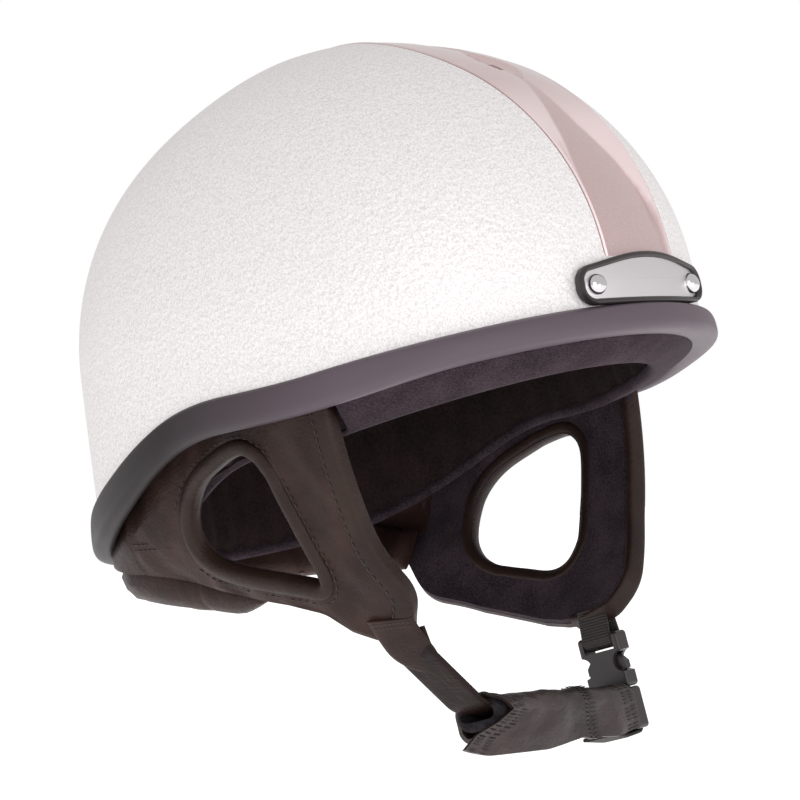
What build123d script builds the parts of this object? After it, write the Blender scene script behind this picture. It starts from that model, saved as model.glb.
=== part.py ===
from build123d import *
import os
from math import cos, radians, sin, sqrt

# Jockey skull cap, in millimetres. Front is -Y, the wearer's left is +X, up is +Z.
# The origin is the middle of the head's seat, level with the widest line of the shell.
os.makedirs("parts", exist_ok=True)

# Clearances and overruns
clear = 0.3
groove_clear = 0.1
overrun = 30.0

# Shell: an egg form given by its half axes, and a wall
half_width = 107.5
front_reach = 128.0
rear_reach = 134.0
crown_height = 114.0
skirt_depth = 178.0
shell_wall = 3.0

# Rim line of the shell, seen from the side: three straight runs with large bends
rim_front_z = -1.5
rim_ear_y = 20.0
rim_ear_z = -25.5
rim_nape_y = 88.0
rim_nape_z = -50.0
rim_rear_z = -57.5
rim_end_y = 142.0
rim_bend = 70.0

# Rubber trim round the rim
trim_height = 12.0
trim_proud = 2.6
trim_foot = 2.4

# Head form that the lining leaves open
head_half = 78.0
head_front = 104.0
head_rear = 108.0
head_up = 92.0
head_down = 200.0

# Liner, brow band and crown lining
band_wall = 5.0
band_drop = 8.0
band_rise = 22.0
lining_wall = 3.0
crown_pad_wall = 5.5
crown_pad_length = 120.0
crown_pad_width = 34.0

# Vent panel sunk into the crown, given at its front end, widest place and tail
panel_front_half = 19.5
panel_wide_y = -52.0
panel_wide_half = 26.5
panel_tail_y = 44.0
panel_tail_half = 5.0
panel_bends = (200.0, 150.0, 4.5)
panel_wall = 2.4
panel_depth = 8.0
gutter_radius = 62.0
gutter_sink = 4.6
vent_first = 51.0
vent_step = 10.5
vent_count = 4
vent_length = 11.0
vent_width = 8.0
scoop_length = 20.0
scoop_width = 15.0
scoop_sink = 1.5
air_radius = 5.0

# Badge on the brow
badge_z = 3.4
badge_length = 66.0
badge_height = 17.0
badge_frame = 2.2
badge_frame_proud = 1.9
badge_plate_proud = 1.2
badge_seat = 0.15
badge_rivet_x = 26.0
badge_rivet_radius = 3.0
badge_rivet_head = 1.1
badge_rivet_shank = 1.2
badge_rivet_slope = 40.0

# Harness: leather side pieces that follow an egg form inside the shell
jaw_half = 97.0
jaw_front = 145.0
jaw_rear = 132.0
jaw_depth = 152.0
leather_wall = 6.0
harness_rise = 2.0
side_top_z = 12.0
strap_front_y = -52.5
strap_bulge_y = -60.0
strap_bulge_z = -103.0
side_knee_y = -56.5
side_knee_z = -84.0
tip_y = -46.0
tip_z = -118.0
heel_y = -28.0
heel_z = -111.0
mid_y = 8.0
mid_z = -105.0
side_rear_y = 60.0
side_rear_z = -97.0
side_radii = (2.0, 60.0, 9.0, 7.0, 10.0, 60.0, 1.0, 2.0)

# Ear hole and the bindings of the leather edges
ear_front_y = -17.5
ear_top_z = -43.0
ear_foot_y = -26.0
ear_foot_z = -94.0
ear_low_y = 14.0
ear_low_z = -92.5
ear_heel_y = 34.0
ear_heel_z = -76.0
ear_rear_z = -62.0
ear_rise_y = 12.0
ear_radii = (5.0, 5.0, 12.0, 12.0, 12.0, 14.0)
binding_width = 4.5
binding_proud = 0.7

# Neck band and quilted nape pad
neck_low_y = 92.0
neck_low_z = -88.0
neck_rear_z = -82.0
pad_wall = 9.0
pad_front_y = 41.0
pad_top_z = -74.0
pad_low_z = -107.0
pad_rear_z = -92.0
pad_edge = 2.5
quilt_z = -92.0
quilt_step = 16.0
quilt_sides = 3
quilt_radius = 2.6

# Anchor webbing and rivets, hidden under the trim
anchor_places = (-40.0, 44.0)
anchor_width = 18.0
anchor_drop = 11.5
rivet_drop = 5.0
rivet_head_radius = 4.0
rivet_head = 1.1
rivet_shank_radius = 1.9
washer_radius = 4.5
washer_wall = 1.2

# Chin strap: it swings about an axis along X through both tabs, and hangs a little forward
swing_y = -45.0
swing_z = -116.0
hang_angle = 9.0
tab_wall = 2.4
tab_top_z = -99.0
strap_width = 17.0
strap_wall = 2.4
webbing_width = 14.0
webbing_wall = 1.6
root_x = -59.5
fold_x = -36.0
fold_drop = 26.0
horn_drop = 6.5
strap_end_x = 30.0
webbing_start_x = 2.0
tail_end_x = 10.0

# Padded sleeve round the strap under the chin, given by its middle line
sleeve_start_x = -28.0
sleeve_end_x = 45.0
sleeve_start_drop = 30.0
sleeve_end_drop = 40.0
sleeve_half_width = 12.0
sleeve_up = 8.5
sleeve_down = 8.7
sleeve_bend = 5.0
sleeve_skin = 2.0
flap_reach = 14.0
lip_down = 5.2
slot_width = 18.6
slot_height = 8.0
slot_up = 1.0
strap_up = 2.0

# Side release buckle
buckle_x = 51.0
buckle_width = 20.0
buckle_thick = 7.0
buckle_edge = 1.2
bar_radius = 1.6
bar_drop = 10.8
web_slot = 3.2
mouth_drop = 31.0
window_drop = 20.8
window_half_height = 4.2
window_half_width = 4.6
cavity_half = 7.8
cavity_thick = 3.8
cavity_top_drop = 17.0
ladder_top_drop = 37.0
ladder_bar_drop = 46.0
prong_y = 5.6
prong_arm = 2.0
prong_thick = 3.0
prong_knuckle = 1.4
prong_root_drop = 33.4
prong_top_drop = 18.2
prong_out = 9.4
prong_barb_drop = 24.0
guide_half = 1.2
guide_thick = 2.2
guide_top_drop = 21.0

shell_middle = (rear_reach - front_reach) / 2
block_half = half_width + overrun
block_deep = skirt_depth + overrun


def egg(half, front, rear, up, down):
    """Closed egg form with its own reach each way: a round form stretched along the cap."""
    reach = (front + rear) / 2
    with BuildPart() as form:
        with BuildSketch(Plane.XZ):
            with BuildLine():
                above = EllipticalCenterArc((0, 0), half, up, arc_size=90)
                below = EllipticalCenterArc((0, 0), half, down, start_angle=-90, arc_size=90)
                Line(above @ 1, below @ 0)
            make_face()
        revolve(axis=Axis.Z)
        scale(by=(1, reach / half, 1))
    return form.part.moved(Location((0, (rear - front) / 2, 0)))


def shell_form(grow):
    """The shell's outer form, grown or shrunk all round."""
    return egg(half_width + grow, front_reach + grow, rear_reach + grow, crown_height + grow, skirt_depth + grow)


def head_form(grow):
    """The space for the head, grown all round."""
    return egg(head_half + grow, head_front + grow, head_rear + grow, head_up + grow, head_down + grow)


def jaw_form(grow):
    """The form that the leather harness follows, grown or shrunk all round."""
    return egg(jaw_half + grow, jaw_front + grow, jaw_rear + grow, jaw_depth + grow, jaw_depth + grow)


def under_rim(rise):
    """Block that fills everything below the rim line moved up by rise."""
    with BuildPart() as block:
        with BuildSketch(Plane.YZ.offset(-block_half)):
            with BuildLine():
                rim = FilletPolyline(
                    (-rim_end_y - overrun, rim_front_z + rise),
                    (rim_ear_y, rim_ear_z + rise),
                    (rim_nape_y, rim_nape_z + rise),
                    (rim_end_y + overrun, rim_rear_z + rise),
                    radius=rim_bend,
                )
                Polyline(rim @ 1, (rim_end_y + overrun, -block_deep), (-rim_end_y - overrun, -block_deep), rim @ 0)
            make_face()
        extrude(amount=2 * block_half)
    return block.part


def rim_band(top, low):
    """Block between the rim line moved to two heights."""
    return under_rim(top) - under_rim(low)


def rim_height(y):
    """Height of the rim line at a place along the cap, without its bends."""
    if y < rim_ear_y:
        share = (y + rim_end_y + overrun) / (rim_ear_y + rim_end_y + overrun)
        return rim_front_z + share * (rim_ear_z - rim_front_z)
    share = (y - rim_ear_y) / (rim_nape_y - rim_ear_y)
    return rim_ear_z + share * (rim_nape_z - rim_ear_z)


def on_shell(y, z, side, sink=0.0):
    """Plane on the shell's surface, or sunk under it, facing straight out."""
    half = half_width - sink
    reach = (front_reach + rear_reach) / 2 - sink
    height = (skirt_depth if z < 0 else crown_height) - sink
    along = y - shell_middle
    x = side * half * sqrt(1 - (along / reach) ** 2 - (z / height) ** 2)
    return Plane(origin=(x, y, z), z_dir=(x / half**2, along / reach**2, z / height**2))


def on_crown(angle, sink=0.0):
    """Plane on the shell's middle line, at an angle up from the brow."""
    reach = (front_reach + rear_reach) / 2 - sink
    height = crown_height - sink
    along, z = -reach * cos(radians(angle)), height * sin(radians(angle))
    place = (0, along + shell_middle, z)
    return Plane(origin=place, x_dir=(1, 0, 0), z_dir=(0, along / reach**2, z / height**2))


def on_badge(x):
    """Plane on the shell's brow beside the middle line, level with the badge."""
    reach = (front_reach + rear_reach) / 2
    along = -reach * sqrt(1 - (x / half_width) ** 2 - (badge_z / crown_height) ** 2)
    out = (x / half_width**2, along / reach**2, badge_z / crown_height**2)
    return Plane(origin=(x, along + shell_middle, badge_z), z_dir=out)


def harness_room(grow):
    """Block below the harness's top edge and behind the front edge of its side pieces."""
    front = Plane.XZ.offset(grow - side_knee_y)
    return split(under_rim(harness_rise + grow), bisect_by=front, keep=Keep.BOTTOM)


# Shared solids, each made once
shell_outer = shell_form(0)
shell_inner = shell_form(-shell_wall)
liner_outer = shell_form(-shell_wall - clear)
head_space = head_form(0)


def panel_outline(grow):
    """Plan outline of the vent panel, drawn as a prism over the crown."""
    with BuildPart() as prism:
        with BuildSketch():
            with BuildLine():
                right = FilletPolyline(
                    (panel_front_half, -front_reach - overrun),
                    (panel_front_half, -front_reach),
                    (panel_wide_half, panel_wide_y),
                    (panel_tail_half, panel_tail_y),
                    (0, panel_tail_y),
                    radius=panel_bends,
                )
                mirror(about=Plane.YZ)
                Line(right @ 0, (-panel_front_half, -front_reach - overrun))
            make_face()
            if grow != 0:
                offset(amount=grow)
        extrude(amount=crown_height + overrun)
        front = badge_z + badge_height / 2
        split(bisect_by=Plane.XY.offset(front + clear - grow), keep=Keep.TOP)
    return prism.part


def gutter(sink):
    """Ring that hollows the panel along the crown: its section is a large circle."""
    low = on_crown(0, sink).origin
    top = on_crown(55, sink).origin
    tail = on_crown(100, sink).origin
    with BuildLine(Plane.YZ) as track:
        path = ThreePointArc((low.Y, low.Z), (top.Y, top.Z), (tail.Y, tail.Z))
    middle = path.arc_center
    reach = path.radius
    with BuildPart() as ring:
        with BuildSketch(Plane.XY.offset(middle.Z)):
            with Locations((0, middle.Y - reach - gutter_radius)):
                Circle(gutter_radius)
        revolve(axis=Axis((0, middle.Y, middle.Z), (1, 0, 0)))
    return ring.part


panel_prism = panel_outline(0)
gutter_ring = gutter(gutter_sink)
gutter_under = gutter(gutter_sink + panel_wall)

rivet_seats = [on_shell(y, rim_height(y) - rivet_drop, side) for y in anchor_places for side in (-1, 1)]
badge_seats = [on_badge(side * badge_rivet_x) for side in (-1, 1)]

with BuildPart() as rivet_bores:
    for seat in rivet_seats:
        with BuildSketch(seat.offset(overrun)):
            Circle(rivet_shank_radius + groove_clear)
        extrude(amount=-2 * overrun)
rivet_holes = rivet_bores.part

with BuildPart() as badge_bores:
    for seat in badge_seats:
        with BuildSketch(seat.offset(overrun)):
            Circle(badge_rivet_shank + groove_clear)
        extrude(amount=-2 * overrun)
badge_holes = badge_bores.part

# Outer shell, open at the rim and cut out for the vent panel
with BuildPart() as outer_shell:
    add(shell_outer)
    add(shell_inner, mode=Mode.SUBTRACT)
    add(under_rim(trim_foot - trim_height), mode=Mode.SUBTRACT)
    add(panel_outline(clear), mode=Mode.SUBTRACT)
    add(rivet_holes, mode=Mode.SUBTRACT)
    add(badge_holes, mode=Mode.SUBTRACT)
outer_shell.part.label = "outer_shell"


# Vent panel: a thin tray whose floor is hollow along the crown, with scooped vents
with BuildPart() as vent_panel:
    add(panel_prism)
    add(shell_outer, mode=Mode.INTERSECT)
    add(shell_form(-panel_depth), mode=Mode.SUBTRACT)
    add(gutter_ring, mode=Mode.SUBTRACT)
    add(panel_outline(-panel_wall) - gutter_under, mode=Mode.SUBTRACT)
    for step in range(vent_count):
        seat = on_crown(vent_first + step * vent_step, gutter_sink)
        with BuildSketch(seat.offset(-scoop_sink)):
            SlotOverall(scoop_length, scoop_width, rotation=90)
        extrude(amount=overrun, mode=Mode.SUBTRACT)
        with BuildSketch(seat.offset(overrun)):
            SlotOverall(vent_length, vent_width, rotation=90)
        extrude(amount=-2 * overrun, mode=Mode.SUBTRACT)
vent_panel.part.label = "vent_panel"

# Rubber trim: a deep lip outside the shell and a foot under its edge
with BuildPart() as rim_trim:
    add(rim_band(0, -trim_height))
    add(shell_form(trim_proud), mode=Mode.INTERSECT)
    add(shell_inner, mode=Mode.SUBTRACT)
    add(shell_form(groove_clear) - under_rim(trim_foot - trim_height - groove_clear), mode=Mode.SUBTRACT)
    for seat in rivet_seats:
        with BuildSketch(seat):
            Circle(rivet_head_radius + clear)
        extrude(amount=rivet_head + clear, mode=Mode.SUBTRACT)
rim_trim.part.label = "rim_trim"

# Foam bead liner: fills the shell down to the harness, recessed under the vent panel
with BuildPart() as foam_liner:
    add(liner_outer)
    add(head_form(band_wall + clear), mode=Mode.SUBTRACT)
    add(under_rim(harness_rise + clear), mode=Mode.SUBTRACT)
    add(panel_outline(2 * clear) - shell_form(-panel_depth - clear), mode=Mode.SUBTRACT)
    for step in range(vent_count):
        with BuildSketch(on_crown(vent_first + step * vent_step)):
            Circle(air_radius)
        extrude(amount=-2 * overrun, mode=Mode.SUBTRACT)
foam_liner.part.label = "foam_liner"

# Velour brow band: a broad foot under the liner and a leg up inside it
harness_cut = harness_room(clear) - jaw_form(-leather_wall - washer_wall - 2 * clear)
with BuildPart() as band_ring:
    add(liner_outer)
    add(head_space, mode=Mode.SUBTRACT)
    add(rim_band(band_rise, -band_drop), mode=Mode.INTERSECT)
    add(liner_outer - head_form(band_wall) - under_rim(harness_rise), mode=Mode.SUBTRACT)

with BuildPart() as brow_band:
    add(band_ring.part - harness_cut)
brow_band.part.label = "brow_band"

# Crown lining: thin padded fabric inside the liner, above the brow band
with BuildPart() as crown_lining:
    add(head_form(band_wall))
    add(head_form(band_wall - lining_wall), mode=Mode.SUBTRACT)
    add(under_rim(band_rise + clear), mode=Mode.SUBTRACT)
crown_lining.part.label = "crown_lining"

# Crown pad: two crossed foam strips inside the lining, at the top of the head
with BuildPart() as crown_pad:
    with BuildSketch():
        SlotOverall(crown_pad_length, crown_pad_width)
        SlotOverall(crown_pad_length, crown_pad_width, rotation=90)
    extrude(amount=crown_height)
    add(head_form(band_wall - lining_wall - clear), mode=Mode.INTERSECT)
    add(head_form(band_wall - lining_wall - clear - crown_pad_wall), mode=Mode.SUBTRACT)
crown_pad.part.label = "crown_pad"


def badge_slab(grow):
    """Round ended badge outline, drawn as a block that runs out through the brow."""
    with BuildPart() as slab:
        with BuildSketch(Plane.XZ):
            with Locations((0, badge_z)):
                SlotOverall(badge_length + 2 * grow, badge_height + 2 * grow)
        extrude(amount=front_reach + overrun)
    return slab.part


# Badge on the brow: a raised surround, a bare plate inside it and two rivets
with BuildPart() as badge_surround:
    add(badge_slab(0) - badge_slab(-badge_frame))
    add(shell_form(badge_frame_proud), mode=Mode.INTERSECT)
    add(shell_form(badge_seat), mode=Mode.SUBTRACT)
badge_surround.part.label = "badge_surround"

with BuildPart() as badge_plate:
    add(badge_slab(-badge_frame - badge_seat))
    add(shell_form(badge_plate_proud), mode=Mode.INTERSECT)
    add(shell_form(badge_seat), mode=Mode.SUBTRACT)
    add(badge_holes, mode=Mode.SUBTRACT)
badge_plate.part.label = "badge_plate"

with BuildPart() as badge_rivets:
    for seat in badge_seats:
        face = seat.offset(badge_plate_proud + badge_seat)
        with BuildSketch(face):
            Circle(badge_rivet_radius)
        extrude(amount=badge_rivet_head, taper=badge_rivet_slope)
        with BuildSketch(face):
            Circle(badge_rivet_shank)
        extrude(amount=-badge_plate_proud - badge_seat - shell_wall)
badge_rivets.part.label = "badge_rivets"


def leather(grow=0.0):
    """The layer that the leather harness fills, grown on both faces."""
    return jaw_form(grow) - jaw_form(-leather_wall - grow)


def side_block(outline, grow=0.0):
    """Block across the wearer's left half, cut to a side outline."""
    with BuildPart() as block:
        with BuildSketch(Plane.YZ):
            add(outline)
            if grow != 0:
                offset(amount=grow)
        extrude(amount=block_half)
    return block.part


# Side outlines of the harness, drawn from the left
with BuildSketch() as side_outline:
    with BuildLine():
        FilletPolyline(
            (strap_front_y, side_top_z),
            (side_knee_y, side_knee_z),
            (strap_bulge_y, strap_bulge_z),
            (tip_y, tip_z),
            (heel_y, heel_z),
            (mid_y, mid_z),
            (side_rear_y, side_rear_z),
            (side_rear_y, side_top_z),
            radius=side_radii,
            close=True,
        )
    make_face()

with BuildSketch() as ear_outline:
    with BuildLine():
        FilletPolyline(
            (ear_front_y, ear_top_z),
            (ear_foot_y, ear_foot_z),
            (ear_low_y, ear_low_z),
            (ear_heel_y, ear_heel_z),
            (ear_heel_y, ear_rear_z),
            (ear_rise_y, ear_top_z),
            radius=ear_radii,
            close=True,
        )
    make_face()

with BuildSketch() as neck_outline:
    with BuildLine():
        Polyline(
            (side_rear_y + clear, side_top_z),
            (side_rear_y + clear, side_rear_z),
            (neck_low_y, neck_low_z),
            (rim_end_y + overrun, neck_rear_z),
            (rim_end_y + overrun, side_top_z),
            close=True,
        )
    make_face()

with BuildSketch() as pad_outline:
    with BuildLine():
        FilletPolyline(
            (pad_front_y, pad_top_z),
            (pad_front_y, pad_low_z),
            (neck_low_y, pad_rear_z),
            (rim_end_y + overrun, pad_rear_z),
            (rim_end_y + overrun, pad_top_z),
            radius=pad_edge,
            close=True,
        )
    make_face()

harness_top = under_rim(harness_rise)
below_band = under_rim(-band_drop - clear)
ear_block = side_block(ear_outline.sketch)
ear_ring_block = side_block(ear_outline.sketch, binding_width)
front_edge_block = side_block(side_outline.sketch) - side_block(
    side_outline.sketch.moved(Location((binding_width, 0, 0)))
)
front_edge_block = split(front_edge_block & below_band, bisect_by=Plane.XZ.offset(-tip_y), keep=Keep.TOP)

# Leather side piece, cut back where its two bindings lie
with BuildPart() as side_piece_left:
    add(side_block(side_outline.sketch))
    add(harness_top, mode=Mode.INTERSECT)
    add(side_block(ear_outline.sketch, binding_width + groove_clear), mode=Mode.SUBTRACT)
    add(front_edge_block, mode=Mode.SUBTRACT)
    add(leather(), mode=Mode.INTERSECT)
    add(rivet_holes, mode=Mode.SUBTRACT)
side_piece_left.part.label = "side_piece_left"

with BuildPart() as ear_binding_left:
    add(ear_ring_block - ear_block)
    add(leather(binding_proud), mode=Mode.INTERSECT)
ear_binding_left.part.label = "ear_binding_left"

with BuildPart() as edge_binding_left:
    add(front_edge_block)
    add(leather(binding_proud), mode=Mode.INTERSECT)
edge_binding_left.part.label = "edge_binding_left"

# Neck band: joins the side pieces round the nape
with BuildPart() as neck_band:
    add(side_block(neck_outline.sketch))
    mirror(about=Plane.YZ)
    add(harness_top, mode=Mode.INTERSECT)
    add(leather(), mode=Mode.INTERSECT)
neck_band.part.label = "neck_band"

# Nape pad: a cushion inside the neck band with quilting channels
pad_grow = -leather_wall - clear
pad_share = sqrt(1 - (quilt_z / (jaw_depth + pad_grow - pad_wall)) ** 2)
pad_half = (jaw_half + pad_grow - pad_wall) * pad_share
pad_reach = ((jaw_front + jaw_rear) / 2 + pad_grow - pad_wall) * pad_share
with BuildPart() as nape_pad:
    add(side_block(pad_outline.sketch))
    mirror(about=Plane.YZ)
    add(jaw_form(pad_grow), mode=Mode.INTERSECT)
    add(jaw_form(pad_grow - pad_wall), mode=Mode.SUBTRACT)
    for step in range(-quilt_sides, quilt_sides + 1):
        turn = radians(step * quilt_step)
        place = (pad_half * sin(turn), (jaw_rear - jaw_front) / 2 + pad_reach * cos(turn))
        with BuildSketch(Plane.XY.offset(pad_low_z - overrun)):
            with Locations(place):
                Circle(quilt_radius)
        extrude(amount=block_deep, mode=Mode.SUBTRACT)
nape_pad.part.label = "nape_pad"

# Anchor webbing, folded thick between the shell and each side piece
with BuildPart() as anchors_left:
    with BuildSketch(Plane.YZ):
        with Locations(*[(y, rim_height(y)) for y in anchor_places]):
            Rectangle(anchor_width, 2 * overrun)
    extrude(amount=block_half)
    add(rim_band(harness_rise, -anchor_drop), mode=Mode.INTERSECT)
    add(liner_outer, mode=Mode.INTERSECT)
    add(jaw_form(clear), mode=Mode.SUBTRACT)
    add(rivet_holes, mode=Mode.SUBTRACT)
anchors_left.part.label = "anchors_left"

# Harness rivets under the trim, and their washers inside the leather
with BuildPart() as harness_rivets:
    for seat in rivet_seats:
        with BuildSketch(seat):
            Circle(rivet_head_radius)
        extrude(amount=rivet_head)
        with BuildSketch(seat):
            Circle(rivet_shank_radius)
        extrude(amount=-overrun)
    add(jaw_form(-leather_wall - washer_wall - clear), mode=Mode.SUBTRACT)
harness_rivets.part.label = "harness_rivets"

with BuildPart() as rivet_washers:
    for seat in rivet_seats:
        with BuildSketch(seat):
            Circle(washer_radius)
        extrude(amount=-overrun)
    add(jaw_form(-leather_wall - groove_clear), mode=Mode.INTERSECT)
    add(jaw_form(-leather_wall - washer_wall), mode=Mode.SUBTRACT)
    add(rivet_holes, mode=Mode.SUBTRACT)
rivet_washers.part.label = "rivet_washers"


def strap_tab(side, width):
    """Tab sewn on the outside of a side piece's tip: its round end is centred on the swing axis."""
    with BuildPart() as tab:
        with BuildSketch(Plane.YZ):
            with BuildLine():
                low = CenterArc((swing_y, swing_z), width / 2, 180, 180)
                Polyline(low @ 1, (swing_y + width / 2, tab_top_z), (swing_y - width / 2, tab_top_z), low @ 0)
            make_face()
        extrude(amount=side * block_half)
        add(jaw_form(binding_proud + clear + tab_wall), mode=Mode.INTERSECT)
        add(jaw_form(binding_proud + clear), mode=Mode.SUBTRACT)
    return tab.part


with BuildPart() as strap_tab_right:
    add(strap_tab(-1, strap_width))
strap_tab_right.part.label = "strap_tab_right"

with BuildPart() as strap_tab_left:
    add(strap_tab(1, webbing_width))
strap_tab_left.part.label = "strap_tab_left"

# Planes of the hanging chin strap: from the side, from the front and along its middle
swing_point = Vector(0, swing_y, swing_z)
hang_up = Vector(0, sin(radians(hang_angle)), cos(radians(hang_angle)))
hang_back = Vector(0, cos(radians(hang_angle)), -sin(radians(hang_angle)))
across = Plane(origin=swing_point, x_dir=(1, 0, 0), z_dir=-hang_back)
along_width = Plane(origin=swing_point + Vector(buckle_x, 0, 0), x_dir=hang_back, z_dir=(1, 0, 0))
level = Plane(origin=swing_point, x_dir=(1, 0, 0), z_dir=hang_up)


def sleeve_line(x, up=0.0):
    """Point on the sleeve's middle line, or above it, in the plane across the cap."""
    share = (x - sleeve_start_x) / (sleeve_end_x - sleeve_start_x)
    return (x, -sleeve_start_drop - share * (sleeve_end_drop - sleeve_start_drop) + up)


def ribbon(points, bends, wall, width):
    """Flat strap of one width that follows a bent line in the plane across the cap."""
    with BuildPart() as band:
        with BuildSketch(across):
            with BuildLine():
                FilletPolyline(points, radius=bends)
            trace(line_width=wall)
        extrude(amount=width / 2, both=True)
    return band.part


def swing_clear(width):
    """Cylinder on the swing axis that clears a tab's round end."""
    with BuildPart() as cylinder:
        with BuildSketch(along_width):
            Circle(width / 2 + clear)
        extrude(amount=block_half, both=True)
    return cylinder.part


# Upper strap: from the right tab to the fold where the strap drops open
fold = Vector(fold_x, -fold_drop)
root = Vector(root_x, 0)
run = (fold - root).normalized()
stop = fold - run * (strap_wall / 2 + clear)
with BuildPart() as strap_root:
    with BuildSketch(across):
        with BuildLine():
            Line(root, stop)
        trace(line_width=strap_wall)
    extrude(amount=strap_width / 2, both=True)
    add(swing_clear(strap_width), mode=Mode.SUBTRACT)
    split(bisect_by=level.offset(-horn_drop), keep=Keep.BOTTOM)
strap_root.part.label = "strap_root"

# Chin strap: from the fold, through the sleeve
with BuildPart() as chin_strap:
    add(ribbon([fold, sleeve_line(sleeve_start_x + strap_width / 4, strap_up), sleeve_line(strap_end_x, strap_up)],
               [strap_width / 2], strap_wall, strap_width))
    with BuildSketch(across):
        with Locations((fold_x, -fold_drop)):
            Circle(strap_wall / 2)
    extrude(amount=strap_width / 2, both=True)
chin_strap.part.label = "chin_strap"

# Webbing: under the strap, round the buckle's ladder bar and back below the sleeve as a tail
web_up = strap_up - strap_wall / 2 - groove_clear - webbing_wall / 2
bend = bar_radius + groove_clear + webbing_wall / 2
tail_up = -sleeve_down - sleeve_skin / 2 - clear - webbing_wall / 2
with BuildPart() as webbing:
    add(ribbon([
        sleeve_line(webbing_start_x, web_up),
        sleeve_line(sleeve_end_x - webbing_wall, web_up),
        (buckle_x + bend, -ladder_bar_drop + bend),
        (buckle_x + bend, -ladder_bar_drop - bend - groove_clear),
        sleeve_line(sleeve_end_x - webbing_wall, tail_up),
        sleeve_line(tail_end_x, tail_up),
    ], [webbing_wall, bend, bend, webbing_wall], webbing_wall, webbing_width))
webbing.part.label = "webbing"

# Sleeve: a leather wrap with a lapped flap below, and a fleece lining with a slot for the straps
sleeve_start = across.from_local_coords(Vector(*sleeve_line(sleeve_start_x)))
sleeve_end = across.from_local_coords(Vector(*sleeve_line(sleeve_end_x)))
sleeve_run = sleeve_end - sleeve_start
section = Plane(origin=sleeve_start, x_dir=hang_back, z_dir=sleeve_run)
fleece_half = sleeve_half_width - sleeve_skin / 2 - groove_clear
fleece_top = sleeve_up - sleeve_skin / 2 - groove_clear
fleece_low = -sleeve_down + sleeve_skin / 2 + groove_clear

with BuildPart() as sleeve_leather:
    with BuildSketch(section):
        with BuildLine():
            FilletPolyline(
                (-sleeve_half_width, -lip_down),
                (-sleeve_half_width, sleeve_up),
                (sleeve_half_width, sleeve_up),
                (sleeve_half_width, -sleeve_down),
                (-flap_reach, -sleeve_down),
                radius=[sleeve_bend] * 3,
            )
        trace(line_width=sleeve_skin)
    extrude(amount=sleeve_run.length)
sleeve_leather.part.label = "sleeve_leather"

with BuildPart() as sleeve_fleece:
    with BuildSketch(section):
        with Locations((0, (fleece_top + fleece_low) / 2)):
            RectangleRounded(2 * fleece_half, fleece_top - fleece_low, sleeve_bend - sleeve_skin / 2)
        with Locations((0, slot_up)):
            RectangleRounded(slot_width, slot_height, sleeve_skin, mode=Mode.SUBTRACT)
    extrude(amount=sleeve_run.length)
sleeve_fleece.part.label = "sleeve_fleece"

# Webbing loop: hangs the buckle from the left tab
with BuildPart() as buckle_loop:
    with BuildSketch(across):
        with Locations((buckle_x, -bar_drop)):
            Circle(bend + webbing_wall / 2)
        with Locations((buckle_x, -bar_drop / 2)):
            Rectangle(2 * webbing_wall, bar_drop)
        with Locations((buckle_x, -bar_drop)):
            Circle(bend - webbing_wall / 2, mode=Mode.SUBTRACT)
    extrude(amount=webbing_width / 2, both=True)
    add(swing_clear(webbing_width), mode=Mode.SUBTRACT)
    split(bisect_by=level.offset(-webbing_width / 3), keep=Keep.BOTTOM)
buckle_loop.part.label = "buckle_loop"

# Buckle's female half: webbing bar, waisted body with open sides, and the mouth
with BuildPart() as buckle_female:
    with BuildSketch(along_width):
        with Locations((0, -(bar_drop - bar_radius + mouth_drop) / 2)):
            RectangleRounded(buckle_width, mouth_drop - bar_drop + bar_radius, bar_radius)
    extrude(amount=buckle_thick / 2, both=True)
    fillet(buckle_female.edges().filter_by(lambda edge: edge.length > window_half_width), radius=buckle_edge)
    with BuildSketch(along_width):
        with Locations((0, -bar_drop)):
            Rectangle(webbing_width + 2 * clear, 2 * (bar_radius + web_slot))
        for side in (-1, 1):
            with Locations((side * buckle_width / 2, -window_drop)):
                Ellipse(window_half_width, window_half_height)
    extrude(amount=buckle_thick, both=True, mode=Mode.SUBTRACT)
    with BuildSketch(along_width):
        with Locations((0, -(cavity_top_drop + mouth_drop) / 2)):
            Rectangle(2 * cavity_half, mouth_drop - cavity_top_drop)
    extrude(amount=cavity_thick / 2, both=True, mode=Mode.SUBTRACT)
    with BuildSketch(across):
        with Locations((buckle_x, -bar_drop)):
            Circle(bar_radius)
    extrude(amount=(webbing_width + buckle_edge) / 2, both=True)
buckle_female.part.label = "buckle_female"

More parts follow.
